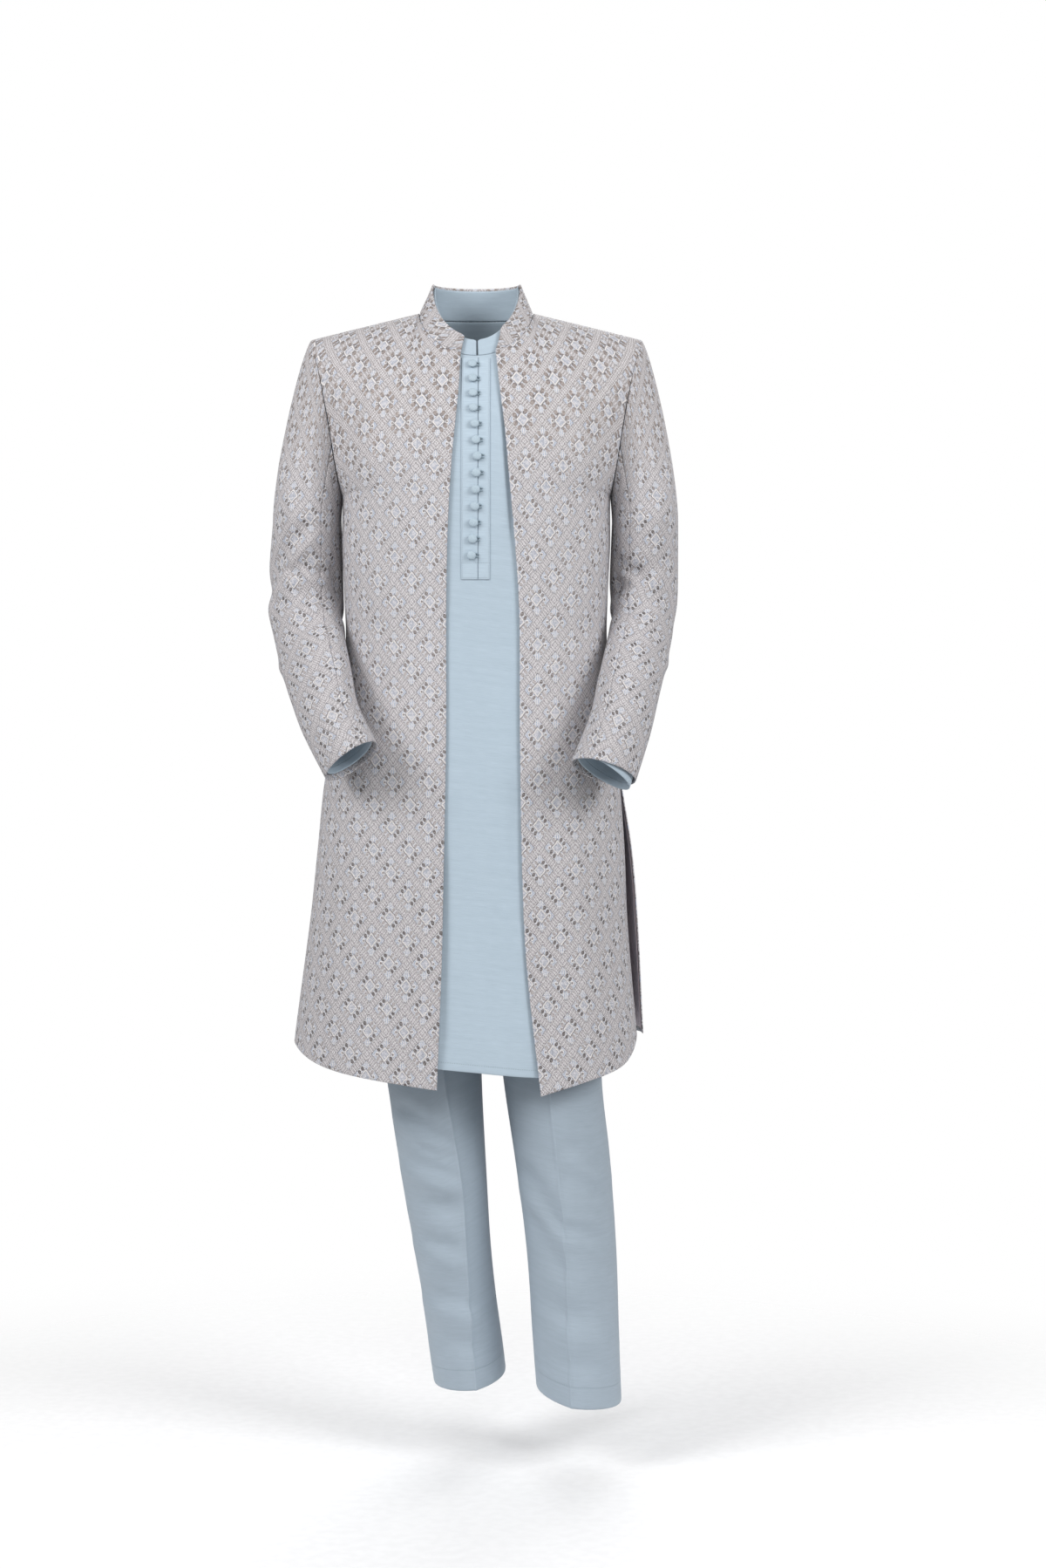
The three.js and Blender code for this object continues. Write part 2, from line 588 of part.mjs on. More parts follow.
// ---- collars ----
const COLLAR_TOP = { side: 60.5, sideZ: 42, backY: 52, backZ: 44, frontY: -77, frontZ: -44 };
const COLLAR_FOOT = 1.7 * SEAM_GAP;
const COLLAR_ROUND = { degrees: 3, left: 0.9 };
const COAT_COLLAR_TOP_ENDS = { left: 34, right: 346 };
const KURTA_COLLAR_ENDS = { left: 3, right: 361 };

const edgeTurn = (cut, side) => {
  const edge = cut.edge(side, -cut.neck.frontDrop);
  return Math.asin(edge / cut.neck.halfWidth) / degrees;
};

/** Neckline at an angle: 0 in front, 90 at the wearer's left, 180 at the back. */
function necklinePoint(cut, turn, sink) {
  const side = Math.sin(turn * degrees) < 0 ? -1 : 1;
  const x = Math.abs(Math.sin(turn * degrees)) * cut.neck.halfWidth;
  const back = Math.cos(turn * degrees) < 0;
  const start = back ? 0 : edgeTurn(cut, side);
  const turned = Math.asin(x / cut.neck.halfWidth) / degrees;
  const share = clamp((turned - start) / (90 - start), 0, 0.99999) * NECK_SHARE;
  const step = 0.004;
  const point = trunkPoint(cut, side, back, share, 1);
  const near = share > 0.1 ? -step : step;
  const aside = trunkPoint(cut, side, back, share + near, 1).sub(point);
  const down = trunkPoint(cut, side, back, share, 1 - step).sub(point);
  const normal = aside.cross(down).normalize();
  if (normal.dot(trunkInside(point).sub(point)) > 0) normal.negate();
  return point.addScaledVector(normal, -sink);
}

function collarPoint(cut, turn, up, inset, drop, sink) {
  const base = necklinePoint(cut, turn, sink);
  const front = Math.cos(turn * degrees) > 0;
  const sway = Math.abs(Math.cos(turn * degrees));
  const reach = front ? COLLAR_TOP.frontY + inset : COLLAR_TOP.backY - inset;
  const top = new THREE.Vector3(
    Math.sin(turn * degrees) * (COLLAR_TOP.side - inset),
    lerp(RIDGE_Y, reach, sway),
    lerp(COLLAR_TOP.sideZ, front ? COLLAR_TOP.frontZ : COLLAR_TOP.backZ, sway),
  );
  top.z -= drop;
  const rise = top.sub(base);
  return base.addScaledVector(rise, lerp(COLLAR_FOOT / rise.length(), 1, up));
}

const collarInside = (point) => new THREE.Vector3(0, -15, point.z + 20);

/** Angle of a collar's column at a height: its front ends slant, and their corners are rounded. */
function collarEnds(ends, topEnds, turn, up) {
  if (turn < 90) return 90 - ((90 - turn) * (90 - lerp(ends.left, topEnds.left, up))) / (90 - ends.left);
  if (turn < 270) return turn;
  return 270 + ((turn - 270) * (lerp(ends.right, topEnds.right, up) - 270)) / (ends.right - 270);
}

function collar({ cut, ends, topEnds, inset, drop, sink, wall }) {
  const lowered = (turn, up) => {
    const fromEnd = Math.min(turn - ends.left, ends.right - turn);
    return up * lerp(1, COLLAR_ROUND.left, clamp(1 - fromEnd / COLLAR_ROUND.degrees) ** 2);
  };
  return sheet({
    across: [
      ends.left,
      ...evenly(edgeTurn(cut, 1), 90, NECK_COLUMNS).slice(1),
      ...evenly(90, 270, 2 * NECK_COLUMNS).slice(1, -1),
      ...evenly(270, 360 - edgeTurn(cut, -1), NECK_COLUMNS),
      ...(ends.right > 360 ? [ends.right] : []),
    ],
    up: evenly(0, 1, 2),
    place: (turn, up) => {
      const height = lowered(turn, up);
      return collarPoint(cut, collarEnds(ends, topEnds, turn, height), height, inset, drop, sink);
    },
    inward: collarInside,
    wall,
  });
}

const coatCollarEnds = { left: edgeTurn(coatCut, 1), right: 360 - edgeTurn(coatCut, -1) };
add('coat_collar', collar({
  cut: coatCut,
  ends: coatCollarEnds,
  topEnds: COAT_COLLAR_TOP_ENDS,
  inset: 0,
  drop: 0,
  sink: 0,
  wall: COLLAR_WALL,
}), coatCloth());
add('kurta_collar', collar({
  cut: kurtaCut,
  ends: KURTA_COLLAR_ENDS,
  topEnds: KURTA_COLLAR_ENDS,
  inset: 3.4,
  drop: 4,
  sink: kurtaSink(1),
  wall: KURTA_WALL,
}), kurtaCloth());

// ---- kurta ----
for (const back of [false, true]) {
  add(back ? 'kurta_back' : 'kurta_front', sheet({
    across: FULL_COLUMNS,
    up: BODY_ROWS,
    place: fullPlace(kurtaCut, back),
    inward: trunkInside,
    wall: KURTA_WALL,
    sunk: (s, t) => kurtaSink(t),
    seamNormal: trunkSeamNormal((s) => Math.sign(s), back),
  }), kurtaCloth());
}
for (const [name, side] of [['right', -1], ['left', 1]]) {
  const cuff = KURTA_CUFF_Z[name];
  const cuffZ = (angle) => lerp(cuff.inner, cuff.outer, (1 + Math.cos(angle * degrees)) / 2);
  add(`kurta_sleeve_${name}`, sheet({
    across: evenly(0, 360, 18).slice(0, -1),
    up: SLEEVE_ROWS.filter((_, row) => !KURTA_ROWS_LEFT_OUT.includes(row)),
    place: (s, t) => sleevePoint(side, s, t, cuffZ(s)),
    inward: sleeveInside(side),
    wall: KURTA_WALL,
    sunk: (s, t) => lerp(kurtaSink(armholeHeight(s)), SLEEVE_SINK, smooth(t / CAP_END)),
    closed: true,
    seamNormal: sleeveSeamNormal(side),
  }), kurtaCloth());
}

// ---- placket, buttons and loops on the kurta's front ----
/** A point on the kurta's outside in front at an x and a z, raised along its normal. */
function kurtaFrontPoint(x, z, raised) {
  const side = x < 0 ? -1 : 1;
  const at = (px, pz) => {
    const turn = Math.asin(clamp((pz - UNDERARM_Z) / -UNDERARM_Z));
    const high = pz > UNDERARM_Z;
    const section = high ? read(ARMHOLE, 'section', pz) : read(COAT_SECTIONS, 'frontRight', pz);
    const depth = read(COAT_SECTIONS, 'front', Math.min(pz, UNDERARM_Z));
    const flat = depth * Math.cos(sectionAngle(Math.abs(px), section)) ** (2 / ROUNDNESS);
    const bow = high ? Math.cos(turn) : 1;
    return new THREE.Vector3(side * Math.abs(px), RIDGE_Y * (1 - bow) - flat * bow, pz);
  };
  const here = at(x, z);
  const upward = at(x, z + 1).sub(at(x, z - 1));
  const normal = new THREE.Vector3(0, -upward.z, upward.y).normalize();
  const turnAt = (height) => Math.asin((height - UNDERARM_Z) / -UNDERARM_Z);
  const above = z > UNDERARM_Z;
  const up = above ? turnAt(z) / turnAt(-KURTA_NECK.frontDrop) : -(z - UNDERARM_Z) / KURTA_HEM_Z;
  return here.addScaledVector(normal, raised - kurtaSink(up));
}

const PLACKET_TOP_Z = -KURTA_NECK.frontDrop - 4;
const STRIP_LIFT = 0.5;
const HALF_OPENING = 0.4;
const strips = [
  ['kurta_placket_button_side', PLACKET.rightX, PLACKET.openingX - HALF_OPENING],
  ['kurta_placket_loop_side', PLACKET.openingX + HALF_OPENING, PLACKET.leftX],
];
for (const [name, from, to] of strips) {
  add(name, sheet({
    across: [from, to],
    up: evenly(PLACKET.bottomZ, PLACKET_TOP_Z, 12),
    place: (x, z) => kurtaFrontPoint(x, z, STRIP_LIFT + PLACKET.wall),
    inward: trunkInside,
    wall: PLACKET.wall,
  }), kurtaCloth());
}

function buttonCentre(index) {
  const along = (index * (BUTTON_LINE.length - 1)) / (BUTTON.count - 1);
  const row = Math.min(BUTTON_LINE.length - 2, Math.floor(along));
  const from = BUTTON_LINE[row];
  const to = BUTTON_LINE[row + 1];
  return { x: lerp(from.x, to.x, along - row), z: lerp(from.z, to.z, along - row) };
}

const buttonProfile = [
  [0, SEAM_GAP],
  [BUTTON.shankRadius, SEAM_GAP],
  [BUTTON.shankRadius, BUTTON.headBase],
  [BUTTON.rimRadius, BUTTON.headBase],
  [BUTTON.radius, BUTTON.rimTop],
  [BUTTON.crownRadius, BUTTON.crownBase],
  [0, BUTTON.height],
].map(([radius, height]) => new THREE.Vector2(radius, height));

/** The loop's middle line round the button's shank, in the plane of the placket. */
function loopPath() {
  const around = evenly(LOOP.turnFrom, LOOP.turnTo, 7).map((angle) => [
    Math.cos(angle * degrees) * LOOP.turnRadius,
    Math.sin(angle * degrees) * LOOP.turnRadius,
  ]);
  return [[LOOP.endX, LOOP.endZ], ...around, [LOOP.endX, -LOOP.endZ]];
}

for (let index = 0; index < BUTTON.count; index += 1) {
  const label = String(index + 1).padStart(2, '0');
  const { x, z } = buttonCentre(index);
  const strip = STRIP_LIFT + PLACKET.wall;
  const foot = kurtaFrontPoint(x, z, strip);
  const normal = kurtaFrontPoint(x, z, strip + 1).sub(foot);
  const sideways = new THREE.Vector3(1, 0, 0);
  const upward = sideways.clone().cross(normal).negate();
  const frame = new THREE.Matrix4().makeBasis(sideways, normal, upward.clone().negate());
  frame.setPosition(foot);
  const button = new THREE.LatheGeometry(buttonProfile, 8);
  button.applyMatrix4(frame);
  add(`kurta_button_${label}`, button, kurtaCloth());

  const lift = SEAM_GAP + LOOP.cordRadius;
  const line = loopPath().map(([dx, dz]) => kurtaFrontPoint(x + dx, z + dz, strip + lift));
  const cord = new THREE.Shape();
  cord.absarc(0, 0, LOOP.cordRadius, 0, Math.PI * 2);
  add(`kurta_loop_${label}`, new THREE.ExtrudeGeometry(cord, {
    steps: 7,
    curveSegments: 3,
    bevelEnabled: false,
    extrudePath: new THREE.CatmullRomCurve3(line),
  }), kurtaCloth());
}

// ---- trousers ----
const LEG_TABLES = { right: RIGHT_LEG, left: LEFT_LEG };
const LEG_TOP_Z = -790;
const LEG_START_Z = -700;
const HIP_END_Z = -640;
const TROUSER_SINK = 7.2;
const FORK_BLEND_Z = -590;
const CREASE_SHARE = 0.36;
const LEG_ROUNDING = 0.9;

/**
 * A trouser panel's point: turn 0 at the middle or inside seam, 90 at the pressed crease and 180 at
 * the outer side seam. Towards the crease the panel runs partly as two flat planes.
 */
function trouserPoint(side, back, turn, z) {
  const facing = back ? 1 : -1;
  const name = side < 0 ? 'right' : 'left';
  const table = LEG_TABLES[name];
  const hipWidth = read(COAT_SECTIONS, 'front' + sideName(side), Math.max(z, HIP_END_Z)) - TROUSER_SINK;
  const hipDepth = read(COAT_SECTIONS, back ? 'back' : 'front', z) - TROUSER_SINK;
  const round = (turn * degrees) / 2;
  const hip = new THREE.Vector3(
    side * (HALF_GAP + hipWidth * Math.sin(round) ** (2 / ROUNDNESS)),
    facing * hipDepth * Math.max(0, Math.cos(round)) ** (2 / ROUNDNESS),
    z,
  );
  const legZ = Math.min(z, LEG_START_Z);
  const crease = back ? 90 : read(table, 'crease', legZ);
  const peak = turn < 90 ? turn / 90 : (180 - turn) / 90;
  const angle = (turn < 90 ? peak * crease : 180 - peak * (180 - crease)) * degrees;
  const sink = back ? 0 : foldDepth(LEG_FOLDS[name], z, side * (turn - 90)) * Math.sin(angle);
  const reach = read(table, back ? 'back' : 'front', legZ) - sink;
  const leg = new THREE.Vector3(
    read(table, 'x', legZ) - side * read(table, 'width', legZ) * Math.cos(angle),
    read(table, 'y', legZ) + facing * reach * lerp(Math.sin(angle) ** LEG_ROUNDING, peak, CREASE_SHARE),
    z,
  );
  const blend = smooth((FORK_BLEND_Z - z) / (FORK_BLEND_Z - CROTCH_Z));
  hip.x += FORK_X * blend;
  const point = hip.lerp(leg, blend);
  point.y += facing * HALF_GAP;
  return point;
}

const LEG_ROWS = 9;
const HIP_HEIGHTS = [CROTCH_Z, -683, -598, -512, WAIST_Z - WAISTBAND_HEIGHT - SEAM_GAP];

/** Height of a row of the trousers: the legs' rows first, then those of the hips. */
function heightAt(bottom, row) {
  if (row <= LEG_ROWS) return lerp(bottom, LEG_TOP_Z, row / LEG_ROWS);
  const heights = [LEG_TOP_Z, ...HIP_HEIGHTS];
  const index = Math.min(HIP_HEIGHTS.length - 1, Math.floor(row - LEG_ROWS));
  return lerp(heights[index], heights[index + 1], row - LEG_ROWS - index);
}

const TROUSER_TURNS = [0, 20, 42, 64, 82, 90, 98, 116, 138, 160, 180];
const legInside = (table) => (point) => {
  const z = Math.min(point.z, LEG_START_Z);
  return new THREE.Vector3(read(table, 'x', z), read(table, 'y', z), point.z);
};
for (const [name, side] of [['right', -1], ['left', 1]]) {
  for (const back of [false, true]) {
    const { z, frontDrop, outerDrop } = LEG_HEM[name];
    const bottom = (turn) => {
      const middle = (back ? frontDrop : -frontDrop) * Math.sin(turn * degrees);
      return z + middle + outerDrop * Math.cos(turn * degrees);
    };
    add(`trouser_${back ? 'back' : 'front'}_${name}`, sheet({
      across: TROUSER_TURNS,
      up: evenly(LEG_ROWS + HIP_HEIGHTS.length, 0, LEG_ROWS + HIP_HEIGHTS.length),
      place: (turn, t) => trouserPoint(side, back, turn, heightAt(bottom(turn), t)),
      inward: legInside(LEG_TABLES[name]),
      wall: TROUSER_WALL,
    }), trouserCloth());
  }
}
const WAISTBAND_WALL = 2.2;
add('trouser_waistband', sheet({
  across: evenly(0, 360, 24).slice(0, -1),
  up: [WAIST_Z - WAISTBAND_HEIGHT, WAIST_Z],
  place: (turn, z) => {
    const side = Math.sin(turn * degrees) < 0 ? -1 : 1;
    const back = Math.cos(turn * degrees) < 0;
    const width = read(COAT_SECTIONS, 'front' + sideName(side), z) - TROUSER_SINK;
    const depth = read(COAT_SECTIONS, back ? 'back' : 'front', z) - TROUSER_SINK;
    const sine = Math.abs(Math.sin(turn * degrees)) ** (2 / ROUNDNESS);
    const cosine = Math.abs(Math.cos(turn * degrees)) ** (2 / ROUNDNESS);
    return new THREE.Vector3(side * width * sine, (back ? 1 : -1) * depth * cosine, z);
  },
  inward: trunkInside,
  wall: WAISTBAND_WALL,
  closed: true,
}), trouserCloth());

export default set;
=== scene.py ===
import math

import bpy
import numpy as np
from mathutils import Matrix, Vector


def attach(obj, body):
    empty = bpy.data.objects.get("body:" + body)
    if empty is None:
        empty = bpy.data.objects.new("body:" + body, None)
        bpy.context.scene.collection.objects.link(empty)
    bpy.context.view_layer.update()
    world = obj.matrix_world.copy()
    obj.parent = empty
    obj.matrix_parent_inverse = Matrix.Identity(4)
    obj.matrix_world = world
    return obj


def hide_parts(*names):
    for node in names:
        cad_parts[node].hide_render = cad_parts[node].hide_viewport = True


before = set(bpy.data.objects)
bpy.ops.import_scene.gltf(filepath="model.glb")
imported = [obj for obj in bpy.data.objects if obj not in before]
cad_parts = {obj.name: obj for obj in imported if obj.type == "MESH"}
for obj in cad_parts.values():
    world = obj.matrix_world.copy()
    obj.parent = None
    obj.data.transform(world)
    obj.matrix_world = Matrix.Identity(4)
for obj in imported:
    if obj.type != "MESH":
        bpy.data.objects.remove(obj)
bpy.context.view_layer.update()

# ---- studio ----
# A pale floor that fades out into a white room, a large soft light at each side, a weaker one in
# front and one behind. The camera looks level at the set.
FLOOR_Z = -1.566
FLOOR_RADIUS = 1.5
ROOM_LIGHT = 0.38

camera = bpy.data.objects.new("camera", bpy.data.cameras.new("camera"))
camera.location = (0.064, -3.5, -0.647)
camera.rotation_euler = (math.pi / 2, 0, 0)
camera.data.lens = 58.4
bpy.context.scene.collection.objects.link(camera)
bpy.context.scene.camera = camera
bpy.context.scene.view_settings.view_transform = "Standard"


class Socket:
    """One output of a finish's nodes. Python's signs on it add the Math nodes of the sum."""

    def __init__(self, link):
        self.link = link

    @staticmethod
    def node(tree, kind, settings=None, sockets=None, output=0):
        """Adds any node: its settings are set first, then the values or links of its sockets."""
        node = tree.nodes.new(kind)
        for name, value in (settings or {}).items():
            setattr(node, name, value)
        for name, value in (sockets or {}).items():
            if isinstance(value, Socket):
                tree.links.new(value.link, node.inputs[name])
            else:
                node.inputs[name].default_value = value
        return Socket(node.outputs[output]) if node.outputs else None

    def other(self, output):
        return Socket(self.link.node.outputs[output])

    def math(self, operation, *values):
        sockets = dict(enumerate(values))
        return Socket.node(self.link.id_data, "ShaderNodeMath", {"operation": operation}, sockets)

    def __add__(self, value):
        return self.math("ADD", self, value)

    def __sub__(self, value):
        return self.math("SUBTRACT", self, value)

    def __rsub__(self, value):
        return self.math("SUBTRACT", value, self)

    def __mul__(self, value):
        return self.math("MULTIPLY", self, value)

    def __truediv__(self, value):
        return self.math("DIVIDE", self, value)

    def __abs__(self):
        return self.math("ABSOLUTE", self)

    __radd__ = __add__

    def most(self, value):
        return self.math("MAXIMUM", self, value)

    def least(self, value):
        return self.math("MINIMUM", self, value)

    def sine(self):
        return self.math("SINE", self)

    def rise(self, start, end):
        """0 up to start, 1 from end on, soft between them."""
        sockets = {0: self, 1: start, 2: end, 3: 0.0, 4: 1.0}
        settings = {"interpolation_type": "SMOOTHSTEP"}
        return Socket.node(self.link.id_data, "ShaderNodeMapRange", settings, sockets)

    def mix(self, under, over):
        """The colour under where this mask is 0, the colour over where it is 1."""
        settings = {"data_type": "RGBA"}
        sockets = {0: self, 6: under, 7: over}
        return Socket.node(self.link.id_data, "ShaderNodeMix", settings, sockets, 2)


def shade(red, green, blue):
    """A colour given in the 0 to 255 steps of a screen, as light."""
    steps = (channel / 255 for channel in (red, green, blue))
    return tuple(((c + 0.055) / 1.055) ** 2.4 if c > 0.04 else c / 12.92 for c in steps) + (1.0,)


def new_finish(name):
    """A material with an empty tree, and its shader."""
    material = bpy.data.materials.new(name)
    material.use_nodes = True
    tree = material.node_tree
    tree.nodes.clear()
    shader = Socket.node(tree, "ShaderNodeBsdfPrincipled")
    Socket.node(tree, "ShaderNodeOutputMaterial", None, {"Surface": shader})
    return material, tree, shader.link.node


def wire(tree, shader, **sockets):
    """Links or sets a shader's sockets, whose names are given with _ for a space."""
    for name, value in sockets.items():
        socket = shader.inputs[name.replace("_", " ")]
        if isinstance(value, Socket):
            tree.links.new(value.link, socket)
        else:
            socket.default_value = value


def own_place(tree):
    """The place on the object itself, in metres from its origin."""
    return Socket.node(tree, "ShaderNodeTexCoord", None, None, 3)


def noise(tree, place, scale, detail):
    """Soft random values about 0.5, finer with a higher scale."""
    sockets = {"Vector": place, "Scale": scale, "Detail": detail}
    return Socket.node(tree, "ShaderNodeTexNoise", None, sockets)


def floor_finish():
    """Plain paper that fades out from a quarter of the floor's radius to its rim."""
    material, tree, shader = new_finish("floor_paper")
    place = own_place(tree)
    reach = Socket.node(tree, "ShaderNodeVectorMath", {"operation": "LENGTH"}, {0: place}, 1)
    grain = noise(tree, place, 60.0, 2.0)
    wire(tree, shader, Base_Color=grain.rise(0.3, 0.7).mix(shade(246, 246, 247), shade(250, 250, 251)))
    wire(tree, shader, Roughness=0.9, Alpha=1 - reach.rise(0.25 * FLOOR_RADIUS, FLOOR_RADIUS * 0.98))
    return material


bpy.ops.mesh.primitive_circle_add(vertices=96, radius=FLOOR_RADIUS, fill_type="NGON")
floor = bpy.context.object
floor.name = "floor"
floor.location = (0, 0, FLOOR_Z)
floor.data.materials.append(floor_finish())

world = bpy.data.worlds.new("white_room")
bpy.context.scene.world = world
world.use_nodes = True
world.node_tree.nodes.clear()
seen = Socket.node(world.node_tree, "ShaderNodeLightPath")
glow = seen * (1 - ROOM_LIGHT) + ROOM_LIGHT
room = Socket.node(world.node_tree, "ShaderNodeBackground", None, {"Color": (1, 1, 1, 1), "Strength": glow})
Socket.node(world.node_tree, "ShaderNodeOutputWorld", None, {"Surface": room})

SOFT_LIGHTS = [
    ("right_side_light", (-2.5, -2.0, 1.0), (0.0, 0.0, -0.4), 1.5, 70),
    ("left_side_light", (2.6, -2.0, 0.8), (0.0, 0.0, -0.4), 1.5, 65),
    ("front_light", (-0.3, -4.2, 1.6), (0.0, 0.0, -0.4), 1.6, 36),
    ("back_light", (0.4, 3.2, 1.2), (0.0, 0.0, -0.6), 2.2, 58),
]
for name, spot, aim, size, power in SOFT_LIGHTS:
    light = bpy.data.objects.new(name, bpy.data.lights.new(name, "AREA"))
    light.data.shape = "SQUARE"
    light.data.size = size
    light.data.energy = power
    light.location = spot
    way = Vector(aim) - Vector(spot)
    light.rotation_euler = way.to_track_quat("-Z", "Y").to_euler()
    bpy.context.scene.collection.objects.link(light)

# ---- coat: fronts and back ----
# Two fronts that hang open and a whole back, cut from heavy cloth that is covered all over with
# machine embroidery, lined, and sewn together at the shoulders and down the sides to the vents.
SEAM_GAP = 0.3
HALF_GAP = SEAM_GAP / 2
COAT_WALL = 2.0
UNDERARM_Z = -255
RIDGE_Y = 5
SHOULDER_TIP_X = 227
SHOULDER_DROP = 36
NECK_DROP = 69
NECK_BACK_RISE = 2
NECK_BACK_HEIGHT = 45
NECK_HALF_WIDTH = 78
ROUNDNESS = 2.35
NECK_SHARE = 5 / 11
NECK_SHARE_BELOW = 0.3
SKIRT_SHARE = 0.86
SKIRT_Z = -940
ARMHOLE_SPACING = 1.5
PINCHED = 0.3
HOLLOW_TOP_Z = -140
COAT_BACK_HEM_Z = -1000
COAT_HEM_Z = {"right": -1058, "left": -1083}

# Outside of the coat: half-widths and depths of its sections, its armholes, and its front edges.
COAT_SECTIONS = {
    "z": [-255, -330, -396, -460, -560, -641, -737, -833, -992, -1070],
    "front_right": [184, 183, 181, 179, 191, 208, 218, 228, 249, 258],
    "front_left": [184, 182, 180, 179, 189, 197, 204, 208, 221, 227],
    "back_right": [184, 183, 181, 179, 191, 208, 218, 229, 250, 259],
    "back_left": [184, 182, 180, 179, 189, 199, 214, 222, 230, 235],
    "front": [132, 131, 129, 128, 131, 134, 138, 142, 150, 153],
    "back": [120, 116, 113, 112, 126, 134, 142, 149, 158, 161],
}
ARMHOLE = {
    "z": [50, -36, -86, -153, -210, -255],
    "seam": [228, 227, 214, 201, 192, 184],
    "section": [300, 270, 248, 218, 202, 184],
}
FRONT_EDGES = {
    "z": [-60, -121, -176, -221, -309, -415, -579, -764, -888, -1060],
    "right": [19, 22, 27, 31, 36, 38, 38, 41, 43.5, 50],
    "left": [26, 33, 40, 44, 52, 59, 60, 63, 69, 88],
}


def lerp(low, high, share):
    return low + (high - low) * share


def smooth(share):
    share = np.clip(share, 0, 1)
    return share**2 * (3 - 2 * share)


def bell(away):
    return np.exp(-(away**2))


def points_of(x, y, z):
    return np.stack(np.broadcast_arrays(x, y, z), -1)


def curve(t, start, leave, end, arrive):
    """A smooth curve from start to end, which leaves and arrives by the steps given."""
    first = (1 + 2 * t) * (1 - t) ** 2 * start + t * (1 - t) ** 2 * leave
    return first + t * t * (3 - 2 * t) * end + t * t * (t - 1) * arrive


def read(table, name, z):
    """Reads one named column of a table whose rows run down in z, on a smooth curve."""
    heights = np.array(table["z"], float)
    values = np.array(table[name], float)
    slopes = np.empty(len(heights))
    slopes[1:-1] = (values[2:] - values[:-2]) / (heights[2:] - heights[:-2])
    slopes[0] = (values[1] - values[0]) / (heights[1] - heights[0])
    slopes[-1] = (values[-1] - values[-2]) / (heights[-1] - heights[-2])
    row = np.clip(np.searchsorted(-heights, -np.asarray(z, float)) - 1, 0, len(heights) - 2)
    span = heights[row + 1] - heights[row]
    t = np.clip((z - heights[row]) / span, 0, 1)
    return curve(t, values[row], span * slopes[row], values[row + 1], span * slopes[row + 1])


def read_sides(table, names, side, z):
    """The same for the wearer's right where side is -1 and left where it is 1."""
    return np.where(side < 0, read(table, names[0], z), read(table, names[1], z))


def section_angle(x, half_width):
    return np.arcsin(np.clip(x / half_width, 0, 1) ** (ROUNDNESS / 2))


def rounded(wave):
    return np.maximum(wave, 0) ** (2 / ROUNDNESS)


def coat_edge(side, z):
    return read_sides(FRONT_EDGES, ("right", "left"), side, z)


def coat_hem(side, back, share):
    if back:
        return COAT_BACK_HEM_Z + 10 * share**2
    right = COAT_HEM_Z["right"] + 36 * share + 24 * share**8
    return np.where(side < 0, right, COAT_HEM_Z["left"] + 61 * share + 32 * share**20)


COAT_CUT = {
    "neck": NECK_HALF_WIDTH,
    "back_widths": ("back_right", "back_left"),
    "hem_z": -1050,
    "edge": coat_edge,
    "hem": coat_hem,
}


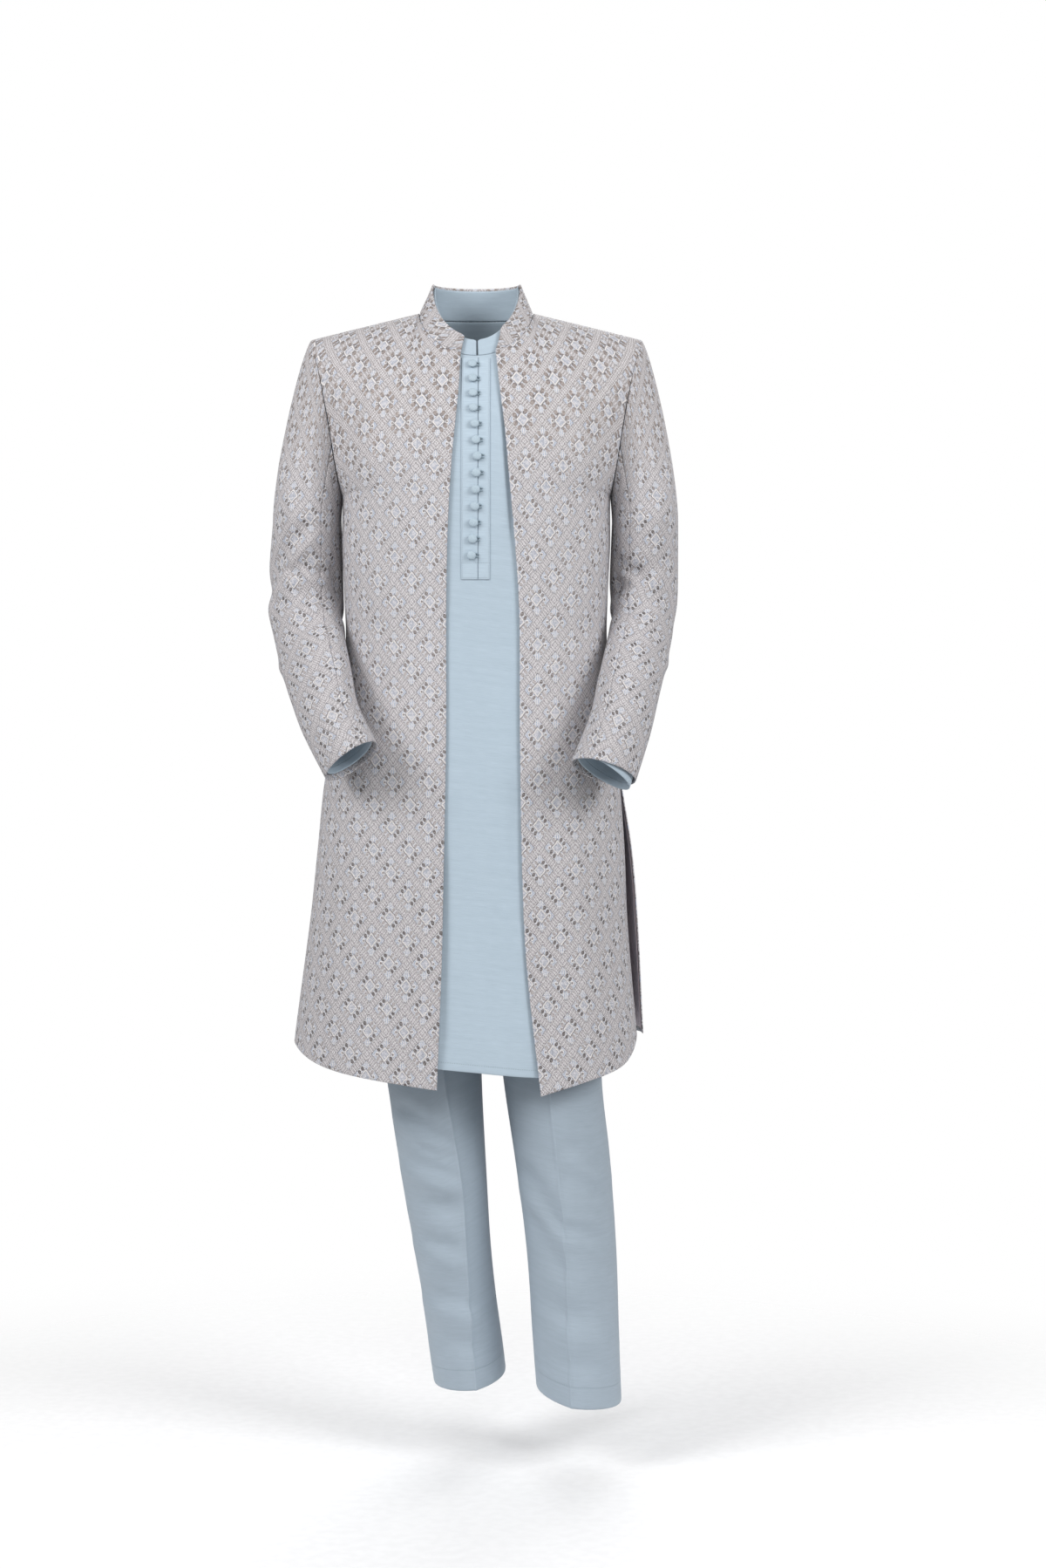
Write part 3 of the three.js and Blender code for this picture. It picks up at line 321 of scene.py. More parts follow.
def trunk(cut, side, back, across, up):
    """Points of the trunk: across runs from the front edge or middle to the side seam, and up
    from -1 at the hem through 0 at the underarm to 1 at the neck and shoulder."""
    facing = 1 if back else -1
    names = cut["back_widths"] if back else ("front_right", "front_left")
    depth_name = "back" if back else "front"
    in_neck = across < NECK_SHARE
    outward = (across - NECK_SHARE) / (1 - NECK_SHARE)
    share = np.where(in_neck, NECK_SHARE_BELOW * across / NECK_SHARE, lerp(NECK_SHARE_BELOW, 1, outward))

    def edge(z):
        return 0 * z if back else cut["edge"](side, z)

    quarter = math.pi / 2
    hem_width = read_sides(COAT_SECTIONS, names, side, cut["hem_z"])
    hem_edge = section_angle(edge(cut["hem_z"] + 0 * share), hem_width)
    hem = cut["hem"](side, back, rounded(np.sin(lerp(hem_edge, quarter, share))))
    above = lerp(UNDERARM_Z, SKIRT_Z, -up / SKIRT_SHARE)
    low_z = np.where(-up < SKIRT_SHARE, above, lerp(SKIRT_Z, hem, (-up - SKIRT_SHARE) / (1 - SKIRT_SHARE)))
    width = read_sides(COAT_SECTIONS, names, side, low_z)
    angle = lerp(section_angle(edge(low_z), width), quarter, share)
    low_x = side * width * rounded(np.sin(angle))
    low_y = facing * (HALF_GAP + read(COAT_SECTIONS, depth_name, low_z) * rounded(np.cos(angle)))

    neck_start = np.arcsin(edge(-NECK_DROP + 0 * share) / cut["neck"])
    top_x = np.where(
        in_neck,
        cut["neck"] * np.sin(lerp(neck_start, quarter, across / NECK_SHARE)),
        lerp(cut["neck"], SHOULDER_TIP_X, outward),
    )
    inside = np.clip(1 - (top_x / cut["neck"]) ** 2, 0, 1)
    slope = np.clip((top_x - NECK_HALF_WIDTH) / (SHOULDER_TIP_X - NECK_HALF_WIDTH), 0, 1)
    ridge = np.where(in_neck & back, NECK_BACK_HEIGHT * inside, -SHOULDER_DROP * slope)
    neckline = NECK_BACK_RISE * inside if back else -NECK_DROP * np.sqrt(inside)
    top_z = np.where(in_neck, neckline, ridge)
    turn = np.arcsin(np.clip((top_z - UNDERARM_Z) / (ridge - UNDERARM_Z), 0, 1)) * np.maximum(up, 0)
    high_z = lerp(UNDERARM_Z, ridge, np.sin(turn))

    def span(z):
        section = read(ARMHOLE, "section", z)
        return section, section_angle(edge(z), section), section_angle(read(ARMHOLE, "seam", z), section)

    section, start, end = span(top_z)
    top_share = (section_angle(top_x, section) - start) / (end - start)
    section, start, end = span(high_z)
    angle = lerp(start, end, lerp(share, top_share, smooth(up)))
    flat = read(COAT_SECTIONS, depth_name, UNDERARM_Z) * rounded(np.cos(angle))
    bow = np.cos(turn)
    high_x = side * section * rounded(np.sin(angle))
    high_y = RIDGE_Y * (1 - bow) + facing * (HALF_GAP + flat * bow)
    low, high = points_of(low_x, low_y, low_z), points_of(high_x, high_y, high_z)
    return np.where((up <= 0)[..., None], low, high)


def unit(vectors):
    return vectors / np.maximum(np.linalg.norm(vectors, axis=-1, keepdims=True), 1e-9)


def surface(place, inward, across, up, closed=False):
    """A grid of points and their outward normals. inward gives points within the hollow."""
    step = 1e-3
    s, t = np.meshgrid(across, up)
    low, high = min(up[0], up[-1]), max(up[0], up[-1])
    left = s - step if closed else np.maximum(across[0], s - step)
    right = s + step if closed else np.minimum(across[-1], s + step)
    points = place(s, t)
    along = place(right, t) - place(left, t)
    upward = place(s, np.minimum(high, t + step)) - place(s, np.maximum(low, t - step))
    normals = unit(np.cross(along, upward))
    wrong = np.sum(normals * (inward(points) - points), -1, keepdims=True) > 0
    return points, np.where(wrong, -normals, normals)


def trunk_inside(points):
    """A point within the trunk's hollow for each point of its surface."""
    return points_of(0.4 * points[..., 0], RIDGE_Y, np.minimum(points[..., 2], HOLLOW_TOP_Z))


def measured(points, axis, origin, parts=(0, 1, 2)):
    """Distance along one way of a grid from its line number origin, by the given parts of x, y, z."""
    gaps = np.linalg.norm(np.diff(points[..., list(parts)], axis=axis), axis=-1)
    grown = np.insert(np.cumsum(gaps, axis=axis), 0, 0, axis=axis)
    return grown - np.take(grown, [origin], axis=axis)


# The parts of x, y and z that count across a grid and up it. On the trunk they are x and y across,
# and y and z up.
ALL_PARTS = ((0, 1, 2), (0, 1, 2))
TRUNK_PARTS = ((0, 1), (1, 2))


def laid_flat(points, column, row, parts=ALL_PARTS):
    """Each point's place on the flat cloth, counted from one column and one row of the grid."""
    return np.stack([measured(points, 1, column, parts[0]), measured(points, 0, row, parts[1])], -1)


def creased(lines, x, y):
    """Depth of soft troughs: each line has two ends, a half-width and a depth, less than 0 for a
    ridge, and fades out beyond its ends."""
    depth = np.zeros(np.broadcast(x, y).shape)
    for x0, y0, x1, y1, half_width, deep in lines:
        long = math.hypot(x1 - x0, y1 - y0)
        along = ((x - x0) * (x1 - x0) + (y - y0) * (y1 - y0)) / long**2
        aside = ((x - x0) * (y1 - y0) - (y - y0) * (x1 - x0)) / long
        beyond = np.maximum(0, np.abs(along - 0.5) - 0.3) * long / (0.2 * long + half_width)
        depth += deep * bell(aside / half_width) * bell(1.4 * beyond)
    return depth


def folded(points, normals, lines):
    """A grid with troughs pressed in, which are placed by x and z."""
    return points - normals * creased(lines, points[..., 0], points[..., 2])[..., None]


def new_piece(name, points, faces, finish):
    """A piece from points in millimetres, smooth over its four-cornered faces."""
    mesh = bpy.data.meshes.new(name)
    mesh.from_pydata((points.reshape(-1, 3) / 1000).tolist(), [], faces)
    mesh.polygons.foreach_set("use_smooth", [len(face) == 4 for face in faces])
    mesh.materials.append(finish)
    mesh.update()
    piece = bpy.data.objects.new(name, mesh)
    bpy.context.scene.collection.objects.link(piece)
    return piece


def cloth_piece(name, points, normals, wall, cloth, finish, closed=False):
    """A closed sheet in millimetres with pinched edges, from its outside to its inside. cloth holds
    each point's own place on the flat cloth."""
    rows, columns = points.shape[:2]
    edge = np.zeros((rows, columns, 1))
    edge[[0, -1]] = 1
    if not closed:
        edge[:, [0, -1]] = 1
    outer = points - normals * wall * PINCHED * edge
    inner = points - normals * wall * (1 - PINCHED * edge)
    index = np.arange(rows * columns).reshape(rows, columns)
    if closed:
        index = np.concatenate([index, index[:, :1]], axis=1)
    half = rows * columns
    a, b, c, d = index[:-1, :-1], index[:-1, 1:], index[1:, 1:], index[1:, :-1]
    faces = [np.stack([a, b, c, d], -1).reshape(-1, 4), np.stack([d, c, b, a], -1).reshape(-1, 4) + half]

    def rim(line):
        return np.stack([line[1:], line[:-1], line[:-1] + half, line[1:] + half], -1)

    faces += [rim(index[0]), rim(index[-1][::-1])]
    if not closed:
        faces += [rim(index[::-1, 0]), rim(index[:, -1])]
    faces = np.concatenate(faces)
    if np.sum(np.cross(points[0, 1] - points[0, 0], points[1, 0] - points[0, 0]) * normals[0, 0]) < 0:
        faces = faces[:, ::-1]
    piece = new_piece(name, np.stack([outer, inner]), faces.tolist(), finish)
    flat = np.tile(cloth.reshape(-1, 2), (2, 1)) / 1000
    layer = piece.data.uv_layers.new(name="cloth")
    layer.data.foreach_set("uv", flat[faces.ravel()].ravel())
    return piece


def steps(start, end, count, trim_start, trim_end):
    """Evenly spaced values with one more close to each end, which keeps the edge narrow."""
    even = np.linspace(start, end, count + 1)
    return np.concatenate([[even[0], even[0] + trim_start], even[1:-1], [even[-1] - trim_end, even[-1]]])


def on_cloth(tree):
    """The place on the flat cloth in metres: both ways together, across it and up it."""
    cloth = Socket.node(tree, "ShaderNodeUVMap", {"uv_map": "cloth"})
    u = Socket.node(tree, "ShaderNodeSeparateXYZ", None, {0: cloth})
    return cloth, u, u.other(1)


def relief(tree, height, distance, strength):
    sockets = {"Height": height, "Distance": distance, "Strength": strength}
    return Socket.node(tree, "ShaderNodeBump", None, sockets)


# The motif's width and height in metres, and the stitch rows from one motif's middle to the next
# along its two slanting ways. The sizes within the motif count those rows.
MOTIF_WIDTH = 0.050
MOTIF_HEIGHT = 0.060
MOTIF_ROWS = 39.0
WAVER = 1.6
YOKE_V = (-0.10, 0.02)


def embroidered_cloth(name, shade_from, shade_to):
    """Rows of cream dashes on blue-grey cloth, with painted shade between the dashes, round small open
    squares with satin petals.
    The petals on two sides of each motif are painted dark as painted shade of the satin, and all the petals
    are a darker tan on the yoke as painted shade. Painted shade deepens the dark petals and the dark speckles
    between two heights of the cloth."""
    material, tree, shader = new_finish(name)
    cloth, u, v = on_cloth(tree)
    speckle = noise(tree, cloth, 700.0, 1.0)
    loose = noise(tree, cloth, 230.0, 1.0)
    waver = (noise(tree, cloth, 150.0, 0.0) - 0.5) * WAVER
    rising = u / MOTIF_WIDTH + v / MOTIF_HEIGHT
    falling = u / MOTIF_WIDTH - v / MOTIF_HEIGHT
    a = (rising - rising.math("ROUND", rising)) * MOTIF_ROWS + waver
    b = (falling - falling.math("ROUND", falling)) * MOTIF_ROWS - waver
    far = abs(a).most(abs(b))
    near = abs(a).least(abs(b))
    upright = (a * b).rise(1.0, -1.0)
    # The two sides of each motif whose satin petals get painted shade, as satin turned from the light looks
    # dark.
    satin_shade_sides = (abs(a) - abs(b)).rise(-0.3, 0.3)
    # The yoke, where the motif is larger and its petals and the shade between its stitches are painted darker
    # as painted shade.
    shaded_yoke = v.rise(*YOKE_V)
    # Painted shade that darkens the shaded petals and the dark speckles between two heights of the cloth.
    deep = v.rise(shade_from, shade_to)

    out = (far - 10.6 - shaded_yoke * 0.6) / (shaded_yoke + 3.1)
    beside = (near - 3.0 - shaded_yoke * 0.8) / (shaded_yoke * 0.9 + 2.3)
    petal = out * out + beside * beside
    petals = 1 - petal.rise(0.8, 1.05)
    petal_edge = (1 - abs(petal - 1.2).rise(0.3, 0.7)) * (1 - shaded_yoke * 0.4)
    corner = (abs(a) + abs(b)) * 0.5
    aside = (abs(a) - abs(b)) * 0.5
    knob = (corner - 8.6) * (corner - 8.6) + aside * aside
    knobs = (1 - knob.rise(2.8, 4.8)) * (1 - upright)
    rays = (aside * 3.0 + 1.57).sine().rise(-0.1, 0.4) * (1 - abs(corner - 10.4).rise(2.4, 3.4)) * upright
    rays = rays * (1 - abs(aside).rise(2.2, 3.0))
    square = 1 - abs(far - 5.6).rise(0.6, 1.1)
    # A dark line round the square: painted shadow of its raised outline, weaker on the sides with shaded
    # petals.
    square_shadow = (1 - abs(far - 7.2).rise(0.4, 0.9)) * (1 - near.rise(7.0, 8.5)) * (1 - satin_shade_sides * 0.6)
    inside = 1 - far.rise(4.6, 5.2)
    band = far.rise(14.0, 15.0)
    rungs = (near * 1.75 + loose * 2.4).sine().rise(-0.1, 0.5)
    rails = (far * 2.1 + 0.6).sine().rise(-0.1, 0.6)
    strands = (rungs * 0.6 + rails * 0.5).least(1.0)
    ring = (1 - abs(far - 13.0).rise(0.4, 0.9)) * rungs
    # A dark line along the band's edge: painted shade of a furrow.
    band_edge_shade = (1 - abs(far - 14.6).rise(0.6, 1.1)) * 0.6

    ground = (loose.rise(0.45, 0.65) * 0.6).mix(shade(178, 190, 210), shade(212, 210, 215))
    # The colour between the cream stitches is painted shade between the raised threads, darker on the yoke.
    gaps = shaded_yoke.mix(shade(156, 150, 152), shade(146, 137, 135))
    thread = strands.mix(gaps, shade(232, 228, 230))
    # Petals on the shaded sides: painted shade, darker further down the cloth.
    shaded_petal = deep.mix(shade(112, 103, 100), shade(72, 65, 63))
    lit_and_shaded_petal = satin_shade_sides.mix(shade(172, 165, 165), shaded_petal)
    # Yoke petals: a darker tan as painted shade, darkest toward the square.
    shaded_tan_petal = far.rise(8.0, 12.5).mix(shade(104, 93, 88), shade(152, 138, 131))
    colour = (band * 0.95).mix(ground, thread)
    colour = band_edge_shade.mix(colour, shade(126, 118, 118))
    colour = (ring * 0.8).mix(colour, shade(236, 233, 236))
    colour = (inside * 0.85).mix(colour, loose.rise(0.4, 0.6).mix(shade(160, 164, 176), shade(204, 203, 209)))
    colour = (petal_edge * 0.75).mix(colour, shade(236, 232, 233))
    colour = petals.mix(colour, shaded_yoke.mix(lit_and_shaded_petal, shaded_tan_petal))
    colour = (rays * 0.9).mix(colour, shade(238, 235, 236))
    colour = knobs.mix(colour, knob.rise(0.6, 1.6).mix(shade(112, 103, 100), shade(236, 233, 233)))
    colour = (square_shadow * 0.85).mix(colour, shade(108, 99, 97))
    colour = square.mix(colour, shade(238, 233, 231))
    light = speckle.rise(0.36, 0.64)
    colour = (light * 0.3).mix(colour, shade(236, 232, 233))
    # Dark speckles of the stitches' grain, made denser by painted shade further down the cloth.
    colour = ((1 - light) * (deep * 0.16 + 0.2)).mix(colour, shade(112, 105, 106))
    height = petals * 0.9 + rays * 0.6 + knobs * 0.7 + square + band * (0.3 + strands * 0.6) + ring * 0.5
    bump = relief(tree, height + speckle * 0.6, 0.0012, 1.0)
    wire(tree, shader, Base_Color=colour, Normal=bump)
    wire(tree, shader, Roughness=0.7 - petals * 0.25 - strands * band * 0.15, Metallic=petals * 0.3)
    wire(tree, shader, Specular_IOR_Level=0.45, Sheen_Weight=0.08)
    return material


# The coat's cloth, whose painted shade deepens toward the hem.
COAT_FINISH = embroidered_cloth("embroidered_cloth", shade_from=-0.3, shade_to=-0.7)
PATTERN_RISE = {"right": 165, "left": 162, "back": 165}
COAT_ROWS = np.concatenate([
    steps(-1, -SKIRT_SHARE, 22, 0.0018, 0)[:-2],
    np.linspace(-SKIRT_SHARE, 0, 131)[:-1],
    np.linspace(0, 1, 46)[:-1] ** 1.15,
    [0.993, 1.0],
])
UNDERARM_ROW = int(np.argmin(np.abs(COAT_ROWS)))
COAT_COLUMNS = steps(0, 1, 46, 0.008, 0.004)
FRONT_CREASES = [
    (-150, -60, -178, -210, 16, 1.6), (-128, -70, -150, -240, 18, -1.8), (-176, -300, -120, -420, 26, -2.0),
    (-150, -560, -190, -980, 24, -3.0), (-95, -640, -118, -1040, 26, 1.6), (-62, -700, -74, -1050, 22, -1.6),
    (150, -70, 176, -210, 16, 1.6), (126, -80, 150, -250, 18, -1.8), (176, -300, 130, -430, 24, -2.2),
    (120, -560, 150, -1000, 24, -2.6), (168, -600, 200, -1000, 20, 1.6), (88, -660, 104, -1040, 22, 1.2),
    (170, -450, 90, -500, 20, -1.8), (-172, -450, -80, -490, 22, -1.6),
]
BACK_CREASES = [
    (-140, -90, -170, -240, 18, -2.0), (140, -90, 172, -230, 18, -2.2), (-90, -300, -150, -430, 24, 1.6),
    (100, -310, 150, -440, 24, 1.6), (-20, -440, 14, -470, 40, 1.6), (-110, -520, -150, -970, 26, -3.0),
    (-40, -560, -52, -980, 24, 1.8), (20, -560, 26, -980, 26, -2.4), (96, -540, 118, -980, 24, 1.8),
    (150, -540, 176, -970, 24, -2.8),
]


def body_grid(cut, back, across, up, edge_to_side):
    """Points and normals of a front, or of a piece that runs from side to side."""

    def place(s, t):
        side = edge_to_side if edge_to_side else np.where(s < 0, -1, 1)
        return trunk(cut, side + 0 * s, back, np.abs(s), t)

    return surface(place, trunk_inside, across, up)


for name, side, u_start, flat, area in [
    ("right", -1, 22, (0.28, 1.11), 0.24),
    ("left", 1, 24, (0.27, 1.12), 0.215),
]:
    points, normals = body_grid(COAT_CUT, False, COAT_COLUMNS, COAT_ROWS, side)
    points = folded(points, normals, FRONT_CREASES)
    start = [-u_start, UNDERARM_Z + PATTERN_RISE[name]]
    cloth = laid_flat(points, 0, UNDERARM_ROW, TRUNK_PARTS) + start
    piece = cloth_piece(f"coat_front_{name}_cloth", points, normals, COAT_WALL, cloth, COAT_FINISH)
    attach(piece, "root")
    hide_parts(f"coat_front_{name}")

BACK_MIDDLE = len(COAT_COLUMNS) - 2
back_columns = np.concatenate([-COAT_COLUMNS[:1:-1], COAT_COLUMNS[2:]])
back_columns = np.insert(back_columns, BACK_MIDDLE, 0)
points, normals = body_grid(COAT_CUT, True, back_columns, COAT_ROWS, 0)
points = folded(points, normals, BACK_CREASES)
start = [0, UNDERARM_Z + PATTERN_RISE["back"]]
cloth = laid_flat(points, BACK_MIDDLE, UNDERARM_ROW, TRUNK_PARTS) + start
piece = cloth_piece("coat_back_cloth", points, normals, COAT_WALL, cloth, COAT_FINISH)
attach(piece, "root")
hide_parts("coat_back")

# ---- coat: lining of the back's skirt ----
# Smooth dusty mauve lining, hung inside the skirt of the back and sewn round its edges. It shows
# at the open left side.
LINING_WALL = 1.0
LINING_LOW = -0.98
LINING_HIGH = -0.3225
LINING_REACH = 0.992


def ribs(tree, place, way, scale, distortion):
    sockets = {"Vector": place, "Scale": scale, "Distortion": distortion}
    return Socket.node(tree, "ShaderNodeTexWave", {"bands_direction": way}, sockets)


def lining_satin():
    """Plain smooth satin with soft folds of painted shade in its tone, in a mauve painted lighter than the
    lining's own to make up for the shade inside the coat.
    """
    material, tree, shader = new_finish("lining_satin")
    cloth, _, _ = on_cloth(tree)
    fold_shade = noise(tree, cloth, 14.0, 2.0)
    weave = ribs(tree, cloth, "Y", 700.0, 1.5)
    bump = relief(tree, weave, 0.0001, 0.5)
    # Painted light and shade: a paler mauve than the lining's own, to make up for the shade it hangs in, with
    # soft patches of painted fold shade.
    wire(tree, shader, Base_Color=fold_shade.rise(0.35, 0.65).mix(shade(208, 188, 193), shade(226, 208, 212)))
    wire(tree, shader, Roughness=0.42 + weave * 0.1, Normal=bump, Sheen_Weight=0.1)
    return material


up = np.concatenate([
    steps(LINING_LOW, -SKIRT_SHARE, 12, 0.001, 0)[:-2],
    np.linspace(-SKIRT_SHARE, LINING_HIGH, 60),
])
points, normals = body_grid(COAT_CUT, True, back_columns * LINING_REACH, up, 0)
points = folded(points - normals * (COAT_WALL + 2 * SEAM_GAP), normals, BACK_CREASES)
cloth = laid_flat(points, 0, 0)
piece = cloth_piece("coat_back_lining_satin", points, normals, LINING_WALL, cloth, lining_satin())
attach(piece, "root")
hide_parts("coat_back_lining")

# ---- coat: sleeves ----
# Two-piece tailored sleeves, a wide topsleeve and a narrow undersleeve, set into the armholes with
# a little ease, bent at the elbow, with soft folds where the arm bends.
RIGHT_SLEEVE = {
    "z": [-287, -353, -400, -440, -478, -520, -562, -617, -650],
    "x": [233, 235.3, 235.6, 228.5, 220, 207, 192, 162, 144],
    "y": [1, 10, 8, -14, -47, -86, -121, -152, -168],
    "width": [47, 50.7, 51.9, 46.5, 42.5, 41, 40, 41, 41],
    "depth": [67, 63, 61, 58, 55, 52, 50, 49, 49],
    "roll": [2, 0, 4, 12, 17, 20, 25, 33, 34],
    "pitch": [0, 2, 10, 18, 21, 22, 20, 16, 16],
}
LEFT_SLEEVE = {
    "z": [-287, -353, -400, -440, -478, -520, -568, -631, -660],
    "x": [232, 231, 229.7, 225, 216, 205, 193, 170, 160],
    "y": [1, 10, 8, -24, -58, -94, -128, -152, -164],
    "width": [45.5, 47, 46.8, 43.5, 43, 42.5, 42, 44.5, 44.5],
    "depth": [66, 63, 61, 56, 53, 51, 50, 49, 49],
    "roll": [0, 0, 4, 9, 13, 14, 15, 16, 16],
    "pitch": [0, 2, 10, 18, 21, 22, 20, 16, 16],
}
# The largest folds: ring height, angle round the sleeve, reach each way, slant and depth, which is
# less than 0 where the sleeve stands out full.
RIGHT_FOLDS = [
    (-368, 30, 16, 55, 0.35, 6), (-398, 65, 13, 60, -0.2, 6), (-440, 100, 14, 45, -0.3, 4),
    (-490, 140, 70, 45, 0, -9), (-480, 0, 65, 45, 0, -4),
]
LEFT_FOLDS = [(-372, 120, 15, 60, -0.35, 6), (-402, 60, 14, 50, 0.3, 5), (-448, 80, 15, 45, 0.3, 4)]
CUFF_Z = {"right": -617, "left": -631}
CAP_END = 0.4
RING_START_Z = -287


def fold_depth(folds, z, angle):
    """Depth of a tube's largest folds at a height and an angle round it."""
    depth = 0 * z + 0 * angle
    for fold_z, fold_angle, reach_z, reach_angle, slant, deep in folds:
        away = (angle - fold_angle + 180) % 360 - 180
        down = (z - fold_z - slant * away) / reach_z
        depth = depth + deep * bell(down) * bell(away / reach_angle)
    return depth


def armhole_height(angle):
    turned = angle % 360
    return (1 - np.minimum(turned, 360 - turned) / 180) ** ARMHOLE_SPACING


def armhole(side, angle):
    """The armhole seam at an angle: 0 at the shoulder tip, 90 in front, 180 under the arm."""
    up = np.maximum(1e-6, armhole_height(angle))
    front, back = (trunk(COAT_CUT, side + 0 * up, behind, 1 + 0 * up, up) for behind in (False, True))
    return np.where((angle % 360 > 180)[..., None], back, front)


def sleeve_ring(side, angle, z):
    table, folds = (RIGHT_SLEEVE, RIGHT_FOLDS) if side < 0 else (LEFT_SLEEVE, LEFT_FOLDS)
    roll, pitch = (np.radians(read(table, name, z)) for name in ("roll", "pitch"))
    sink = fold_depth(folds, z, angle)
    out = (read(table, "width", z) - sink) * np.cos(np.radians(angle))
    front = (read(table, "depth", z) - sink) * np.sin(np.radians(angle))
    x = side * read(table, "x", z) + side * np.cos(roll) * out
    y = read(table, "y", z) - np.cos(pitch) * front
    return points_of(x, y, z - np.sin(roll) * out + np.sin(pitch) * front)


def sleeve(side, angle, down, cuff_z):
    """Points of a sleeve: down runs from 0 at the armhole through the cap to 1 at the cuff."""
    below_cap = np.maximum(0, down - CAP_END) / (1 - CAP_END)
    below = sleeve_ring(side, angle, lerp(RING_START_Z, cuff_z, below_cap))
    t = np.minimum(down / CAP_END, 1)[..., None]
    start = armhole(side, angle)
    end = sleeve_ring(side, angle, RING_START_Z + 0 * down)
    reach = np.linalg.norm(end - start, axis=-1)
    top = ((1 + np.cos(np.radians(angle))) / 2) ** 2
    leave = points_of(side * lerp(0.1, 0.5, top), 0, 0.34 * top - 1) * 0.35 * reach[..., None]
    arrive = points_of(0, 0, -0.8 * reach)
    start = start + points_of(side * SEAM_GAP * 1.3, 0, -SEAM_GAP * 0.8 * top)
    return np.where((down < CAP_END)[..., None], curve(t, start, leave, end, arrive), below)


def sleeve_inside(side):
    table = RIGHT_SLEEVE if side < 0 else LEFT_SLEEVE

    def inside(points):
        z = np.minimum(points[..., 2], RING_START_Z + 60)
        return points_of(side * read(table, "x", z), read(table, "y", z), z)

    return inside


# Finer creases at the elbows and inside the bend: angle and distance below the armpit line, twice,
# then half-width and depth.
SLEEVE_CREASES = {
    "right": [
        (28, -67, 104, -6, 11, 4.8), (46, -84, 112, -24, 9, -3.2), (62, -69, 94, -80, 6, 4.2),
        (84, -62, 124, -78, 6, 4.2), (88, -76, 126, -91, 6, -3.8), (142, -64, 158, -106, 12, 4.8),
        (24, -96, 75, -106, 8, -3.5), (30, -114, 85, -126, 8, 3.8), (60, -142, 112, -122, 9, -3.5),
        (60, -172, 115, -150, 10, 3.5), (100, -200, 140, -174, 11, -2.9), (-60, -80, -110, -130, 11, 3.8),
        (-70, -120, -120, -150, 10, -3.5), (-20, 60, -46, -30, 15, 2.6), (30, 90, 64, 10, 16, -2.9),
        (-30, -210, 30, -236, 12, -2.6), (60, -250, 110, -226, 11, 2.9), (160, -130, 210, -160, 11, 3.2),
    ],
    "left": [
        (154, -50, 98, -80, 8, 4.8), (150, -66, 100, -95, 8, -3.8), (146, -64, 150, -102, 12, 4.8),
        (80, -96, 132, -112, 8, -3.5), (70, -120, 128, -136, 9, 4.2), (60, -150, 118, -160, 9, -3.5),
        (76, -186, 124, -180, 11, 3.2), (-60, -84, -112, -124, 11, 3.8), (-72, -122, -118, -148, 10, -3.5),
        (-24, 50, -50, -40, 15, 2.6), (34, 80, 60, 0, 16, -2.9), (-20, -216, 36, -240, 12, -2.6),
        (64, -256, 112, -236, 11, 2.9), (158, -126, 212, -158, 11, 3.2),
    ],
}
SLEEVE_ROWS = np.concatenate([steps(0, CAP_END, 34, 0.004, 0)[:-2], steps(CAP_END, 1, 66, 0, 0.003)[1:]])
RING_ROW = int(np.argmin(np.abs(SLEEVE_ROWS - CAP_END)))
SEAM_ANGLE = 120
# The sleeves' copy of the cloth, whose painted shade deepens down the sleeve toward the cuff.
SLEEVE_FINISH = embroidered_cloth("embroidered_sleeve_cloth", shade_from=0.05, shade_to=-0.2)
SLEEVE_PATTERN_Z = -120


def sleeve_grid(side, first, last, columns, rows, cuff_z):
    across = steps(first, last, columns, 1.6, 1.6)

    def place(s, t):
        trim = lerp(0.75, 0.18, smooth(t / 0.2))
        return sleeve(side, lerp(first + trim, last - trim, (s - first) / (last - first)), t, cuff_z)

    points, normals = surface(place, sleeve_inside(side), across, rows)
    return across, points, normals


for name, side in [("right", -1), ("left", 1)]:
    for part, first, last, columns, flat, area in [
        ("topsleeve", -SEAM_ANGLE, SEAM_ANGLE, 52, (0.36, 0.69), 0.127),
        ("undersleeve", SEAM_ANGLE, 360 - SEAM_ANGLE, 26, (0.18, 0.51), 0.0485),
    ]:
        across, points, normals = sleeve_grid(side, first, last, columns, SLEEVE_ROWS, CUFF_Z[name])
        down = measured(points, 0, RING_ROW)
        depth = creased(SLEEVE_CREASES[name], np.broadcast_to(across, down.shape), -down)
        points = points - normals * depth[..., None]
        middle = int(np.argmin(np.abs(across - (0 if part == "topsleeve" else 180))))
        cloth = laid_flat(points, middle, RING_ROW) * [1, -1] + [0, SLEEVE_PATTERN_Z]
        piece = cloth_piece(f"coat_{part}_{name}_cloth", points, normals, COAT_WALL, cloth, SLEEVE_FINISH)
        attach(piece, "root")
        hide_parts(f"coat_{part}_{name}")

# ---- coat: collar ----
# A stiffened stand collar of the embroidered cloth, sewn round the neckline, with rounded front
# ends that stand apart.
COLLAR_WALL = 2.4
COLLAR_TOP = {"side": 60.5, "side_z": 42, "back_y": 52, "back_z": 44, "front_y": -77, "front_z": -44}
COLLAR_TOP_ENDS = (34, 346)
KURTA_SINK_TOP = 4.8


def edge_turn(cut, side):
    return float(np.degrees(np.arcsin(cut["edge"](side, np.array(-NECK_DROP)) / cut["neck"])))


